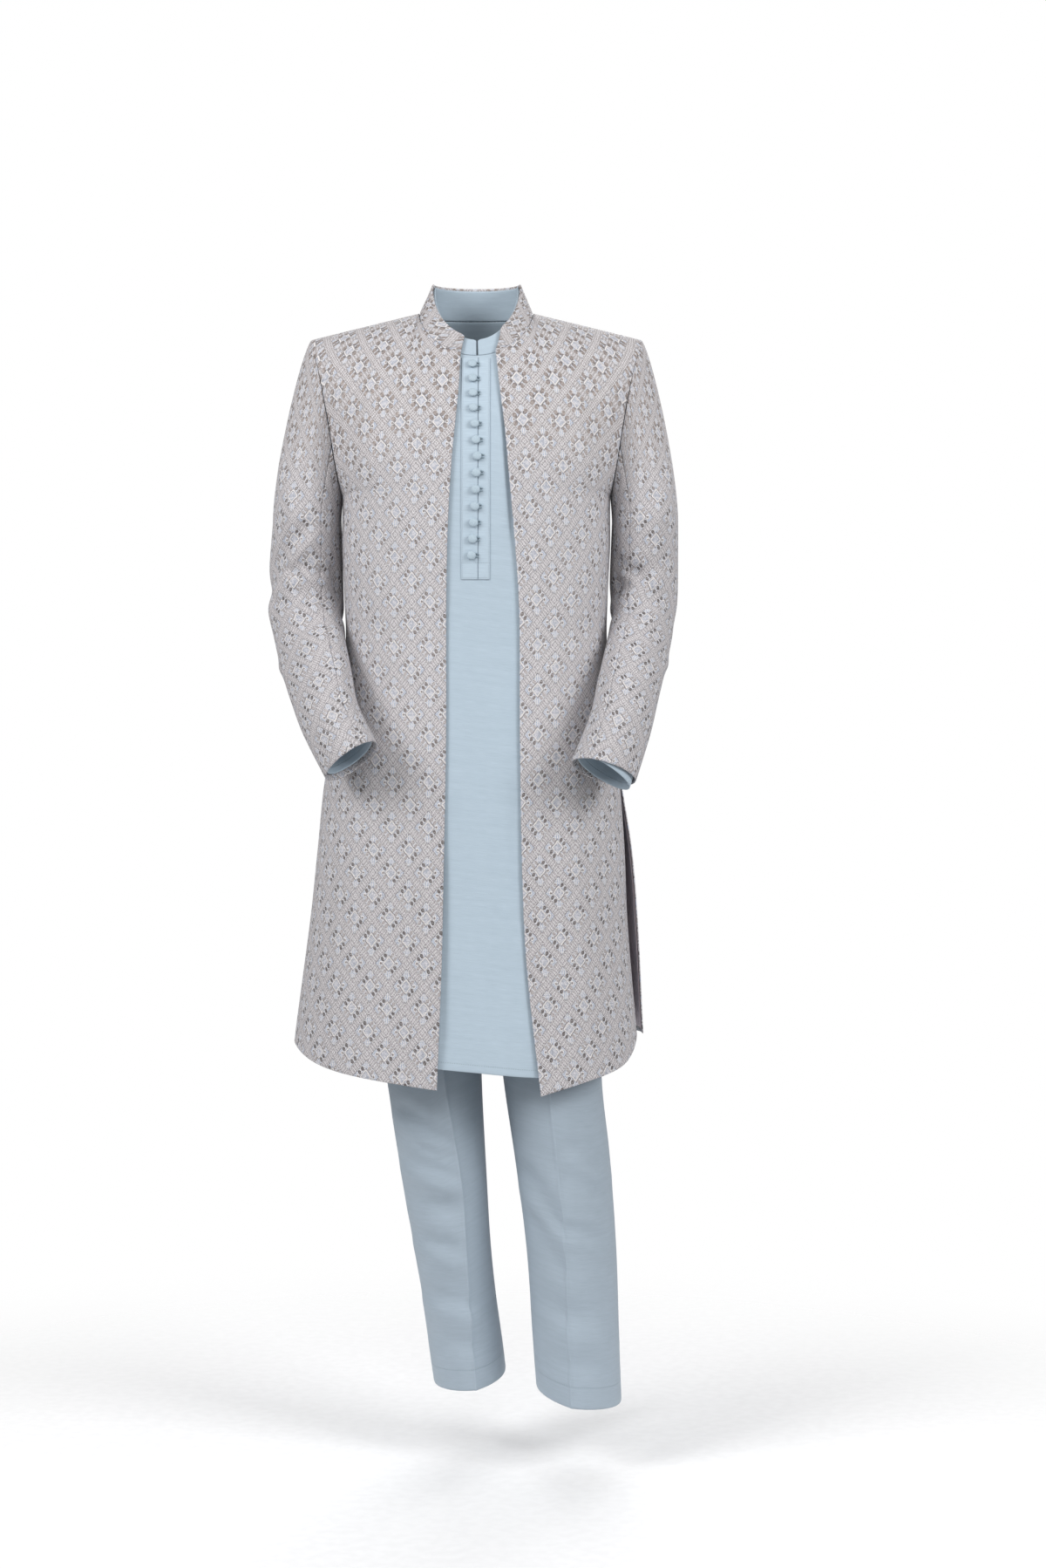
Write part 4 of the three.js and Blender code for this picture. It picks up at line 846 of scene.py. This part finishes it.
def neckline(cut, turn, sink):
    """The neckline at an angle: 0 in front, 90 at the wearer's left, 180 at the back."""
    side = np.where(np.sin(np.radians(turn)) < 0, -1, 1)
    back = np.cos(np.radians(turn)) < 0
    away = np.degrees(np.arcsin(np.abs(np.sin(np.radians(turn)))))
    start = np.where(back, 0, np.where(side < 0, edge_turn(cut, -1), edge_turn(cut, 1)))
    share = np.clip((away - start) / (90 - start), 0, 0.99999) * NECK_SHARE
    step = 0.004

    def place(s, t):
        return np.where(back[..., None], trunk(cut, side, True, s, t), trunk(cut, side, False, s, t))

    top = 1 + 0 * share
    points = place(share, top)
    aside = place(share + np.where(share > 0.1, -step, step), top) - points
    normals = unit(np.cross(aside, place(share, top - step) - points))
    wrong = np.sum(normals * (trunk_inside(points) - points), -1, keepdims=True) > 0
    return points - np.where(wrong, -normals, normals) * sink


def collar(cut, turn, up, inset, drop, sink):
    base = neckline(cut, turn, sink)
    wave = np.cos(np.radians(turn))
    front = wave > 0
    top_x = np.sin(np.radians(turn)) * (COLLAR_TOP["side"] - inset)
    end_y = np.where(front, COLLAR_TOP["front_y"] + inset, COLLAR_TOP["back_y"] - inset)
    end_z = np.where(front, COLLAR_TOP["front_z"], COLLAR_TOP["back_z"])
    top_y = lerp(RIDGE_Y, end_y, np.abs(wave))
    top_z = lerp(COLLAR_TOP["side_z"], end_z, np.abs(wave)) - drop
    rise = points_of(top_x, top_y, top_z) - base
    foot = 1.7 * SEAM_GAP / np.linalg.norm(rise, axis=-1)
    return base + rise * lerp(foot, 1, up)[..., None]


def collar_inside(points):
    return points_of(0, -15, points[..., 2] + 20)


def collar_grid(cut, ends, top_ends, inset, drop, sink, rows):
    """Points and normals of a stand collar whose front ends slant and have rounded corners."""

    def place(turn, up):
        from_end = np.minimum(turn - ends[0], ends[1] - turn)
        height = up * lerp(1, 0.9, np.clip(1 - from_end / 3, 0, 1) ** 2)
        left_end, right_end = (lerp(end, top_end, height) for end, top_end in zip(ends, top_ends))
        left = 90 - (90 - turn) * (90 - left_end) / (90 - ends[0])
        right = 270 + (turn - 270) * (right_end - 270) / (ends[1] - 270)
        slanted = np.where(turn < 90, left, np.where(turn < 270, turn, right))
        return collar(cut, slanted, height, inset, drop, sink)

    return surface(place, collar_inside, steps(ends[0], ends[1], 84, 1.0, 1.0), rows)


ends = (edge_turn(COAT_CUT, 1), 360 - edge_turn(COAT_CUT, -1))
points, normals = collar_grid(COAT_CUT, ends, COLLAR_TOP_ENDS, 0, 0, 0, steps(0, 1, 9, 0.04, 0.04))
cloth = laid_flat(points, points.shape[1] // 2, 0)
piece = cloth_piece("coat_collar_cloth", points, normals, COLLAR_WALL, cloth, COAT_FINISH)
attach(piece, "root")
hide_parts("coat_collar")

# ---- kurta: front, back and sleeves ----
# A long straight tunic of soft slubbed cloth, slit at the sides, with a narrow stitched hem. Its
# back and sleeves lie under the coat and show only at the neck, cuffs and hem.
KURTA_WALL = 1.2
KURTA_HEM_Z = -1028
KURTA_BACK_HEM_Z = -980
KURTA_SINK = {"top": KURTA_SINK_TOP, "body": 5, "skirt": 6}
SLEEVE_SINK = 5
KURTA_CUFFS = {"right": (-611, -611), "left": (-622, -641)}
THREADS = 5200


def uneven_threads(tree, cloth, across, up, detail):
    """Noise drawn out along the threads, by its grains to a metre across the cloth and up it."""
    sockets = {0: cloth, 1: (across, up, 1)}
    drawn = Socket.node(tree, "ShaderNodeVectorMath", {"operation": "MULTIPLY"}, sockets)
    return noise(tree, drawn, 1.0, detail)


def stitch_line(place, at, half_width):
    """1 within a line's half-width in metres, and 0 from half a millimetre beyond it."""
    return 1 - abs(place - at).rise(half_width, half_width + 0.0005)


def slub_cloth(name, dark, light, hem_stitch, sheen):
    """Plain cloth with fine uneven threads across it and a line of stitches above the hem."""
    material, tree, shader = new_finish(name)
    cloth, u, v = on_cloth(tree)
    slubs = uneven_threads(tree, cloth, 60, 1500, 2.0)
    bars = uneven_threads(tree, cloth, 10, 190, 1.0)
    threads = (u * THREADS).sine() * (v * THREADS).sine()
    line = stitch_line(v, hem_stitch, 0.0004) * (u * 2100).sine().rise(-0.3, 0.1)
    fold = 1 - v.rise(hem_stitch - 0.0006, hem_stitch + 0.0006)
    tone = (slubs - 0.5) * 0.9 + (bars - 0.5) * 0.4 + threads * 0.05 + 0.5
    colour = (line * 0.4).mix(tone.rise(0.0, 1.0).mix(dark, light), shade(122, 138, 150))
    height = slubs * 0.5 + threads * 0.2 + fold * 0.8 - line * 1.2
    bump = relief(tree, height, 0.0005, 0.6)
    wire(tree, shader, Base_Color=colour, Normal=bump, Roughness=0.62 + slubs * 0.15)
    wire(tree, shader, Specular_IOR_Level=0.35, Sheen_Weight=sheen)
    return material


KURTA_FINISH = slub_cloth(
    "kurta_cloth", dark=shade(166, 182, 195), light=shade(184, 200, 212), hem_stitch=0.010, sheen=0.15
)


def kurta_edge(side, z):
    return 0 * z


def kurta_hem(side, back, share):
    if back:
        return KURTA_BACK_HEM_Z + 0 * share
    return KURTA_HEM_Z - 23 * side * share + np.where(side < 0, 10, 65) * share**4


KURTA_CUT = {
    "neck": 75,
    "back_widths": ("front_right", "front_left"),
    "hem_z": KURTA_HEM_Z,
    "edge": kurta_edge,
    "hem": kurta_hem,
}


def kurta_sink(up):
    """How far the kurta lies inside the coat's surface."""
    below = lerp(KURTA_SINK["body"], KURTA_SINK["skirt"], smooth((-up - 0.5) / 0.3))
    return np.where(up > 0, lerp(KURTA_SINK["body"], KURTA_SINK["top"], smooth(up / 0.6)), below)


KURTA_ROWS = np.concatenate([
    [-1, -0.998, -0.992, -0.987],
    np.linspace(-0.98, -SKIRT_SHARE, 12)[:-1],
    np.linspace(-SKIRT_SHARE, 0, 96)[:-1],
    np.linspace(0, 1, 36)[:-1] ** 1.15,
    [0.993, 1.0],
])
kurta_half = steps(0, 1, 64, 0.01, 0.004)[2:]
KURTA_COLUMNS = np.concatenate([-kurta_half[::-1], [0], kurta_half])
KURTA_CREASES = [
    (40, -110, 53, -330, 6, 3.4), (29, -120, 40, -330, 7, -1.6), (-30, -400, -22, -760, 14, -1.2),
    (10, -480, 14, -900, 18, 1.0), (34, -560, 46, -980, 14, -1.4), (-24, -760, -30, -1020, 14, 1.0),
    (58, -820, 70, -1020, 10, -1.4), (-46, -720, -42, -1024, 9, 2.4), (-8, -860, -2, -1025, 14, -1.2),
    (20, -900, 30, -1025, 10, 1.0),
]

for name, back, flat, area in [("front", False, (0.61, 1.09), 0.52), ("back", True, (0.62, 1.02), 0.50)]:
    points, normals = body_grid(KURTA_CUT, back, KURTA_COLUMNS, KURTA_ROWS, 0)
    sink = kurta_sink(KURTA_ROWS)[:, None]
    depth = sink + creased([] if back else KURTA_CREASES, points[..., 0], points[..., 2])
    points = points - normals * depth[..., None]
    cloth = laid_flat(points, len(kurta_half), 0, TRUNK_PARTS)
    piece = cloth_piece(f"kurta_{name}_cloth", points, normals, KURTA_WALL, cloth, KURTA_FINISH)
    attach(piece, "root")
    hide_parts(f"kurta_{name}")

CAP_ROWS = 15
for name, side in [("right", -1), ("left", 1)]:
    down = np.concatenate([
        np.linspace(0.02, CAP_END, CAP_ROWS + 1)[:-1],
        np.linspace(CAP_END, 0.98, 40),
        [0.99, 0.997, 1.0],
    ])
    across = np.linspace(0, 360, 61)[:-1]
    inner_z, outer_z = KURTA_CUFFS[name]

    def place(angle, t):
        cuff_z = lerp(inner_z, outer_z, (1 + np.cos(np.radians(angle))) / 2)
        return sleeve(side, angle, t, cuff_z)

    points, normals = surface(place, sleeve_inside(side), across, down, True)
    top_sink = kurta_sink(armhole_height(across))[None, :]
    turned = np.where(across > 360 - SEAM_ANGLE, across - 360, across)
    sink = lerp(top_sink, SLEEVE_SINK, smooth(down / CAP_END)[:, None])
    sink = sink + creased(SLEEVE_CREASES[name], turned, -measured(points, 0, CAP_ROWS))
    points = points - normals * sink[..., None]
    cloth = laid_flat(points, 0, -1) * [1, -1]
    piece = cloth_piece(f"kurta_sleeve_{name}_cloth", points, normals, KURTA_WALL, cloth, KURTA_FINISH, True)
    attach(piece, "root")
    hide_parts(f"kurta_sleeve_{name}")

# ---- kurta: band collar ----
# A narrow stand collar of the kurta's cloth, with a notch at the front over the placket.
BAND_ENDS = (3, 361)
BAND_ABOVE_STITCHES = 20
rows = steps(0, 1, 7, 0.05, 0.05)
points, normals = collar_grid(KURTA_CUT, BAND_ENDS, BAND_ENDS, 3.4, 4, KURTA_SINK_TOP, rows)
cloth = laid_flat(points, points.shape[1] // 2, 0) + [0, BAND_ABOVE_STITCHES]
piece = cloth_piece("kurta_collar_cloth", points, normals, KURTA_WALL, cloth, KURTA_FINISH)
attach(piece, "root")
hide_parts("kurta_collar")

# ---- kurta: placket ----
# Two folded strips down the front, closed edge to edge, stitched along both sides and boxed off
# with stitches at the lower end.
PLACKET = {"bottom_z": -376, "right_x": -18, "left_x": 20, "opening_x": 4.2, "wall": 1}
STRIP_LIFT = 0.5
STRIP_TOP = STRIP_LIFT + PLACKET["wall"]
PLACKET_TOP_Z = -NECK_DROP - 4
BOX_HEIGHT = 22


def kurta_front_point(x, z, raised):
    """A point on the kurta's outside in front, raised along its normal."""

    def at(px, pz):
        turn = np.arcsin(np.clip((pz - UNDERARM_Z) / -UNDERARM_Z, 0, 1))
        high, low = read(ARMHOLE, "section", pz), read(COAT_SECTIONS, "front_right", pz)
        section = np.where(pz > UNDERARM_Z, high, low)
        depth = read(COAT_SECTIONS, "front", np.minimum(pz, UNDERARM_Z))
        flat = depth * rounded(np.cos(section_angle(np.abs(px), section)))
        bow = np.where(pz > UNDERARM_Z, np.cos(turn), 1)
        return points_of(px, RIDGE_Y * (1 - bow) - flat * bow, pz)

    upward = at(x, z + 1) - at(x, z - 1)
    normal = unit(points_of(0, -upward[..., 2], upward[..., 1]))
    neck_turn = math.asin((-NECK_DROP - UNDERARM_Z) / -UNDERARM_Z)
    above = np.arcsin(np.clip((z - UNDERARM_Z) / -UNDERARM_Z, 0, 1)) / neck_turn
    up = np.where(z > UNDERARM_Z, above, (z - UNDERARM_Z) / (UNDERARM_Z - KURTA_HEM_Z))
    sink = kurta_sink(up) + creased(KURTA_CREASES, x, z)
    return at(x, z) + normal * (raised - sink)[..., None]


def stitched_placket():
    """The kurta's cloth with fine stitches inside the strips' edges and round the end box."""
    material, tree, shader = new_finish("placket_cloth")
    cloth, u, v = on_cloth(tree)
    slubs = uneven_threads(tree, cloth, 60, 1500, 2.0)
    lines = stitch_line(u, (PLACKET["right_x"] + 1.6) / 1000, 0.0003)
    for place, at in [
        (u, PLACKET["left_x"] - 1.6),
        (v, PLACKET["bottom_z"] + 1.8),
        (v, PLACKET["bottom_z"] + BOX_HEIGHT),
    ]:
        lines = lines.most(stitch_line(place, at / 1000, 0.0003))
    stitches = lines * ((u + v) * 2400).sine().rise(-0.3, 0.2)
    tone = slubs.rise(0.2, 0.8).mix(shade(168, 184, 197), shade(186, 202, 214))
    bump = relief(tree, slubs * 0.5 - stitches * 1.5, 0.0005, 0.6)
    wire(tree, shader, Base_Color=(stitches * 0.14).mix(tone, shade(120, 136, 148)), Normal=bump)
    wire(tree, shader, Roughness=0.62 + slubs * 0.15, Specular_IOR_Level=0.35, Sheen_Weight=0.15)
    return material


PLACKET_FINISH = stitched_placket()
for name, start, end in [
    ("button_side", PLACKET["right_x"], PLACKET["opening_x"] - 0.4),
    ("loop_side", PLACKET["opening_x"] + 0.4, PLACKET["left_x"]),
]:
    across = steps(start, end, 6, 0.8, 0.8)
    up = steps(PLACKET["bottom_z"], PLACKET_TOP_Z, 76, 0.8, 0.8)
    points, normals = surface(lambda s, t: kurta_front_point(s, t, STRIP_TOP), trunk_inside, across, up)
    cloth = np.stack(np.meshgrid(across, up), -1)
    piece = cloth_piece(
        f"kurta_placket_{name}_cloth", points, normals, PLACKET["wall"], cloth, PLACKET_FINISH
    )
    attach(piece, "root")
    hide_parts(f"kurta_placket_{name}")

# ---- kurta: buttons and loops ----
# Thirteen small covered buttons, each held by a thin cord loop that is caught in the strip's
# folded edge and passes round the button's shank.
BUTTON_COUNT = 13
BUTTON_LINE = {"z": [-84, -146, -212, -279, -344], "x": [-4, -2, 3, 0, -4.5]}
BUTTON_SPOKES = 32
BUTTON_FOOT = 2.4
GATHERS = 8
GATHER_SHARE = 0.02
GATHERED_BELOW = 3.2
CORD_RADIUS = 0.9
# The loop's turn round the button, where its straight parts begin and end, and how far those stand
# above and below the button's middle there.
LOOP_TURN = 3.8
LOOP_X = (2.6, 9.5)
LOOP_Z = (3.0, 1.6)


def covered_button_cloth():
    """Cloth drawn tight over a mould, with small gathers under the rim."""
    material, tree, shader = new_finish("covered_button_cloth")
    weave = noise(tree, own_place(tree), 1400.0, 2.0)
    tone = weave.rise(0.3, 0.7).mix(shade(162, 179, 191), shade(181, 198, 209))
    wire(tree, shader, Base_Color=tone, Normal=relief(tree, weave, 0.0003, 0.6))
    wire(tree, shader, Roughness=0.5 + weave * 0.2, Sheen_Weight=0.1)
    return material


def loop_cord():
    """Twisted cord in a slightly darker tone than the kurta."""
    material, tree, shader = new_finish("loop_cord")
    twist = ribs(tree, own_place(tree), "DIAGONAL", 500.0, 1.0)
    wire(tree, shader, Base_Color=twist.mix(shade(126, 146, 158), shade(158, 177, 188)))
    wire(tree, shader, Normal=relief(tree, twist, 0.0003, 0.7), Roughness=0.55 + twist * 0.1)
    return material


BUTTON_FINISH = covered_button_cloth()
CORD_FINISH = loop_cord()
BUTTON_RADII = np.array([0, 2.5, 2.5, 2.7, 5.2, 5.85, 6.0, 5.75, 5.0, 3.7, 2.0, 0.9])
BUTTON_HEIGHTS = np.array([0.3, 0.3, 1.8, 2.5, 2.6, 3.0, 3.7, 4.5, 5.2, 5.75, 6.08, 6.17])


def solid_of_rings(name, rings, finish):
    """A closed body through rings of points in millimetres."""
    count = rings.shape[1]
    last = (len(rings) - 1) * count
    faces = []
    for start in range(0, last, count):
        for spoke in range(count):
            after = (spoke + 1) % count
            faces.append([start + spoke, start + after, start + count + after, start + count + spoke])
    faces.append(list(range(count))[::-1])
    faces.append([last + spoke for spoke in range(count)])
    return new_piece(name, rings, faces, finish)


def loop_path():
    """The cord's middle line about a button's middle, as x and z from one end round to the other."""
    turn = np.radians(np.linspace(70, 290, 19))
    x, z = np.linspace(*LOOP_X, 6), np.linspace(*LOOP_Z, 6)
    x = np.concatenate([x[::-1], np.cos(turn) * LOOP_TURN, x])
    z = np.concatenate([z[::-1], np.sin(turn) * LOOP_TURN, -z])
    for _ in range(3):
        for path in (x, z):
            path[1:-1] = (path[:-2] + 2 * path[1:-1] + path[2:]) / 4
    return x, z


for number in range(BUTTON_COUNT):
    label = f"{number + 1:02d}"
    rows = np.arange(len(BUTTON_LINE["z"]))
    along = number * rows[-1] / (BUTTON_COUNT - 1)
    x, z = (np.array(np.interp(along, rows, BUTTON_LINE[part])) for part in ("x", "z"))
    foot = kurta_front_point(x, z, np.array(STRIP_TOP))
    outward = kurta_front_point(x, z, np.array(STRIP_TOP + 1.0)) - foot
    upward = np.cross(outward, [1, 0, 0])
    spokes = np.linspace(0, 2 * math.pi, BUTTON_SPOKES, endpoint=False)
    gathered = (BUTTON_HEIGHTS < GATHERED_BELOW)[:, None]
    reach = BUTTON_RADII[:, None] * (1 - GATHER_SHARE * np.cos(GATHERS * spokes) * gathered)
    reach[0] = BUTTON_FOOT
    rings = (
        foot
        + (reach * np.cos(spokes))[..., None] * np.array([1, 0, 0])
        + (reach * np.sin(spokes))[..., None] * upward
        + BUTTON_HEIGHTS[:, None, None] * outward
    )
    piece = solid_of_rings(f"kurta_button_{label}_covered", rings, BUTTON_FINISH)
    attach(piece, "root")
    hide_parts(f"kurta_button_{label}")

    path_x, path_z = loop_path()
    raised = STRIP_TOP + SEAM_GAP + CORD_RADIUS + 0 * path_x
    middle = kurta_front_point(x + path_x, z + path_z, raised)
    tangent = unit(np.gradient(middle, axis=0))
    lift = unit(outward[None, :] - tangent * np.sum(outward * tangent, -1, keepdims=True))
    beside = np.cross(tangent, lift)
    round_cord = np.linspace(0, 2 * math.pi, 10, endpoint=False)
    rings = (
        middle[:, None]
        + CORD_RADIUS * np.cos(round_cord)[None, :, None] * lift[:, None]
        + CORD_RADIUS * np.sin(round_cord)[None, :, None] * beside[:, None]
    )
    piece = solid_of_rings(f"kurta_loop_{label}_cord", rings, CORD_FINISH)
    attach(piece, "root")
    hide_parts(f"kurta_loop_{label}")

# ---- trousers: legs ----
# Straight narrow trousers of the same slubbed cloth in a slightly deeper tone, each leg sewn from
# a front and a back, pressed to a crease down the middle of each, and hemmed.
TROUSER_WALL = 1.4
TROUSER_SINK = 7.2
FORK_BLEND_Z = -590
CROTCH_Z = -735
FORK_X = 5
HIP_END_Z = -640
LEG_TOP_Z = -700
WAIST_Z = -440
WAISTBAND_HEIGHT = 38
PRESSED_RIDGE = 1.2
PRESSED_HALF_WIDTH = 2.4
# crease is the angle of the front crease round the leg from the inside seam.
RIGHT_LEG = {
    "z": [-700, -760, -860, -950, -1050, -1190, -1275, -1345, -1425, -1480],
    "x": [-88, -84, -74, -65, -58.5, -44.5, -34.5, -25, -14, -7],
    "y": [4, 5, 6, 7, 8, 8, 8, 8, 8, 8],
    "width": [90, 85, 77, 71, 65.5, 58.5, 53.5, 51, 51, 50],
    "front": [102, 95, 92, 89, 85, 81, 78, 76, 74, 73],
    "back": [106, 99, 94, 91, 88, 85, 82, 80, 79, 79],
    "crease": [84, 82, 80, 78, 75, 64, 66, 71, 77, 79],
}
LEFT_LEG = {
    "z": [-700, -760, -860, -950, -1050, -1158, -1280, -1402, -1490],
    "x": [98, 97, 98, 101, 104.5, 118, 130, 136, 141],
    "y": [3, 2, -2, -7, -14, -24, -38, -52, -62],
    "width": [90, 88, 80, 74, 67.5, 65, 61, 58.5, 56.5],
    "front": [102, 95, 92, 89, 85, 83, 80, 77, 75],
    "back": [106, 99, 94, 91, 88, 87, 84, 81, 79],
    "crease": [87, 87, 86, 85, 85, 83, 81, 79, 78],
}
LEG_HEMS = {"right": (-1460, 6, 7.5), "left": (-1468.5, 5, 9.5)}
LEG_FOLDS = {
    "right": [(-1128, -35, 16, 50, -0.4, 4), (-1222, -25, 16, 55, 0.2, 5), (-1330, -10, 18, 60, -0.25, 4)],
    "left": [(-1165, 30, 18, 55, -0.4, 4), (-1232, -50, 16, 45, -0.5, 4), (-1350, 10, 20, 60, -0.3, 4)],
}
TROUSER_FINISH = slub_cloth(
    "trouser_cloth", dark=shade(150, 163, 174), light=shade(166, 179, 191), hem_stitch=0.028, sheen=0.12
)


def leg_value(side, name, z):
    """One column of a leg's table, as it is at the leg's top for all heights above."""
    return read(RIGHT_LEG if side < 0 else LEFT_LEG, name, np.minimum(z, LEG_TOP_Z))


def trouser(side, back, turn, z):
    """Points of a panel: turn 0 at the middle or inside seam, 180 at the outer side seam."""
    facing = 1 if back else -1
    share = turn / 180 * math.pi / 2
    hip_width = read(COAT_SECTIONS, "front_right" if side < 0 else "front_left", np.maximum(z, HIP_END_Z))
    hip_width = hip_width - TROUSER_SINK
    hip_depth = read(COAT_SECTIONS, "back" if back else "front", z) - TROUSER_SINK
    hip_x = side * (HALF_GAP + hip_width * rounded(np.sin(share)))
    hip_y = facing * hip_depth * rounded(np.cos(share))
    crease = 90 if back else leg_value(side, "crease", z)
    peak = np.minimum(turn, 180 - turn) / 90
    angle = np.radians(np.where(turn < 90, peak * crease, 180 - peak * (180 - crease)))
    wave = np.maximum(np.sin(angle), 0)
    folds = LEG_FOLDS["right" if side < 0 else "left"]
    sink = 0 if back else fold_depth(folds, z, side * (turn - 90)) * wave
    reach = leg_value(side, "back" if back else "front", z) - sink
    leg_x = leg_value(side, "x", z) - side * leg_value(side, "width", z) * np.cos(angle)
    leg_y = leg_value(side, "y", z) + facing * reach * lerp(wave**0.9, peak, 0.36)
    blend = smooth((FORK_BLEND_Z - z) / (FORK_BLEND_Z - CROTCH_Z))
    x = lerp(hip_x + FORK_X * blend, leg_x, blend)
    y = lerp(hip_y, leg_y, blend) + facing * HALF_GAP
    return points_of(x, y, z)


def leg_inside(side):
    def inside(points):
        z = points[..., 2]
        return points_of(leg_value(side, "x", z), leg_value(side, "y", z), z)

    return inside


# Drag folds down the legs: distance from the leg's middle line and height, twice, then half-width
# and depth.
LEG_CREASES = {
    "right": [
        (-52, -1085, 16, -1131, 13, 7.1), (-52, -1104, 12, -1148, 11, -5.0), (-26, -1138, 18, -1152, 8, 6.3),
        (-52, -1156, 12, -1174, 13, 6.3), (-50, -1172, 14, -1192, 11, -5.0), (-46, -1206, 10, -1224, 14, 4.2),
        (-52, -1260, 8, -1277, 13, 5.9), (-50, -1276, 10, -1294, 13, -4.2), (-50, -1338, 22, -1353, 13, 5.5),
        (-46, -1356, 24, -1370, 13, -3.8), (-44, -1400, 26, -1407, 13, 4.2),
    ],
    "left": [
        (-60, -1160, -14, -1236, 13, 7.6), (-56, -1188, -12, -1262, 13, -5.0),
        (-56, -1224, -10, -1300, 13, 5.0), (10, -1130, 58, -1160, 14, 5.6),
        (12, -1150, 58, -1182, 13, -4.2), (-4, -1168, 56, -1206, 14, 4.8),
        (-6, -1238, 46, -1258, 11, 5.5), (-4, -1254, 50, -1278, 11, -4.2),
        (-50, -1330, 8, -1366, 16, 4.2), (-8, -1376, 50, -1398, 14, -3.8),
        (-46, -1408, 24, -1424, 14, 3.8),
    ],
    "back": [
        (-40, -760, 40, -800, 21, 2.6), (-44, -1060, 30, -1096, 13, 3.4), (-30, -1106, 44, -1132, 12, -2.6),
        (-44, -1160, 36, -1184, 12, 3.1), (-34, -1230, 40, -1256, 14, -2.4), (-40, -1330, 34, -1360, 14, 2.4),
    ],
}
LEG_TURNS = np.concatenate([
    [0, 1.6],
    np.linspace(0, 82, 17)[1:],
    [85, 87, 88.6, 90, 91.4, 93, 95],
    np.linspace(98, 180, 17)[:-1],
    [178.4, 180],
])
COLUMN_BY_CREASE = 20
LEG_ROWS = np.concatenate([[0, 0.002], np.linspace(0, 1, 190)[1:-1], [0.998, 1]])
PANEL_TOP_Z = WAIST_Z - WAISTBAND_HEIGHT - SEAM_GAP
for name, side in [("right", -1), ("left", 1)]:
    hem_z, front_drop, outer_drop = LEG_HEMS[name]
    for panel, back in [("front", False), ("back", True)]:

        def place(turn, up):
            middle = (front_drop if back else -front_drop) * np.sin(np.radians(turn))
            hem = hem_z + middle + outer_drop * np.cos(np.radians(turn))
            return trouser(side, back, turn, lerp(hem, PANEL_TOP_Z, up))

        points, normals = surface(place, leg_inside(side), LEG_TURNS, LEG_ROWS)
        x, z = points[..., 0], points[..., 2]
        depth = creased(LEG_CREASES["back" if back else name], x - leg_value(side, "x", z), z)
        off_seams = 1 - np.abs(LEG_TURNS / 90 - 1) ** 6
        ridge = PRESSED_RIDGE * bell((LEG_TURNS - 90) / PRESSED_HALF_WIDTH)
        points = points - normals * (depth * off_seams - ridge)[..., None]
        piece = cloth_piece(
            f"trouser_{panel}_{name}_cloth", points, normals, TROUSER_WALL,
            laid_flat(points, COLUMN_BY_CREASE, 0), TROUSER_FINISH,
        )
        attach(piece, "root")
        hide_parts(f"trouser_{panel}_{name}")

# ---- trousers: waistband ----
# A straight stiffened band of the same cloth round the top of the trousers, hidden by the kurta.
WAISTBAND_WALL = 2.2


def waistband(turn, z):
    """Points of the band: turn 0 in front, 90 at the wearer's left, 180 at the back."""
    aside, ahead = np.sin(np.radians(turn)), np.cos(np.radians(turn))
    width = read_sides(COAT_SECTIONS, ("front_right", "front_left"), np.where(aside < 0, -1, 1), z)
    depth = np.where(ahead < 0, read(COAT_SECTIONS, "back", z), read(COAT_SECTIONS, "front", z))
    x = np.sign(aside) * (width - TROUSER_SINK) * rounded(np.abs(aside))
    y = np.where(ahead < 0, 1, -1) * (depth - TROUSER_SINK) * rounded(np.abs(ahead))
    return points_of(x, y, z)


across = np.linspace(0, 360, 145)[:-1]
up = steps(WAIST_Z - WAISTBAND_HEIGHT, WAIST_Z, 8, 0.8, 0.8)
points, normals = surface(waistband, trunk_inside, across, up, True)
cloth = laid_flat(points, 0, 0)
piece = cloth_piece("trouser_waistband_cloth", points, normals, WAISTBAND_WALL, cloth, TROUSER_FINISH, True)
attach(piece, "root")
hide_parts("trouser_waistband")
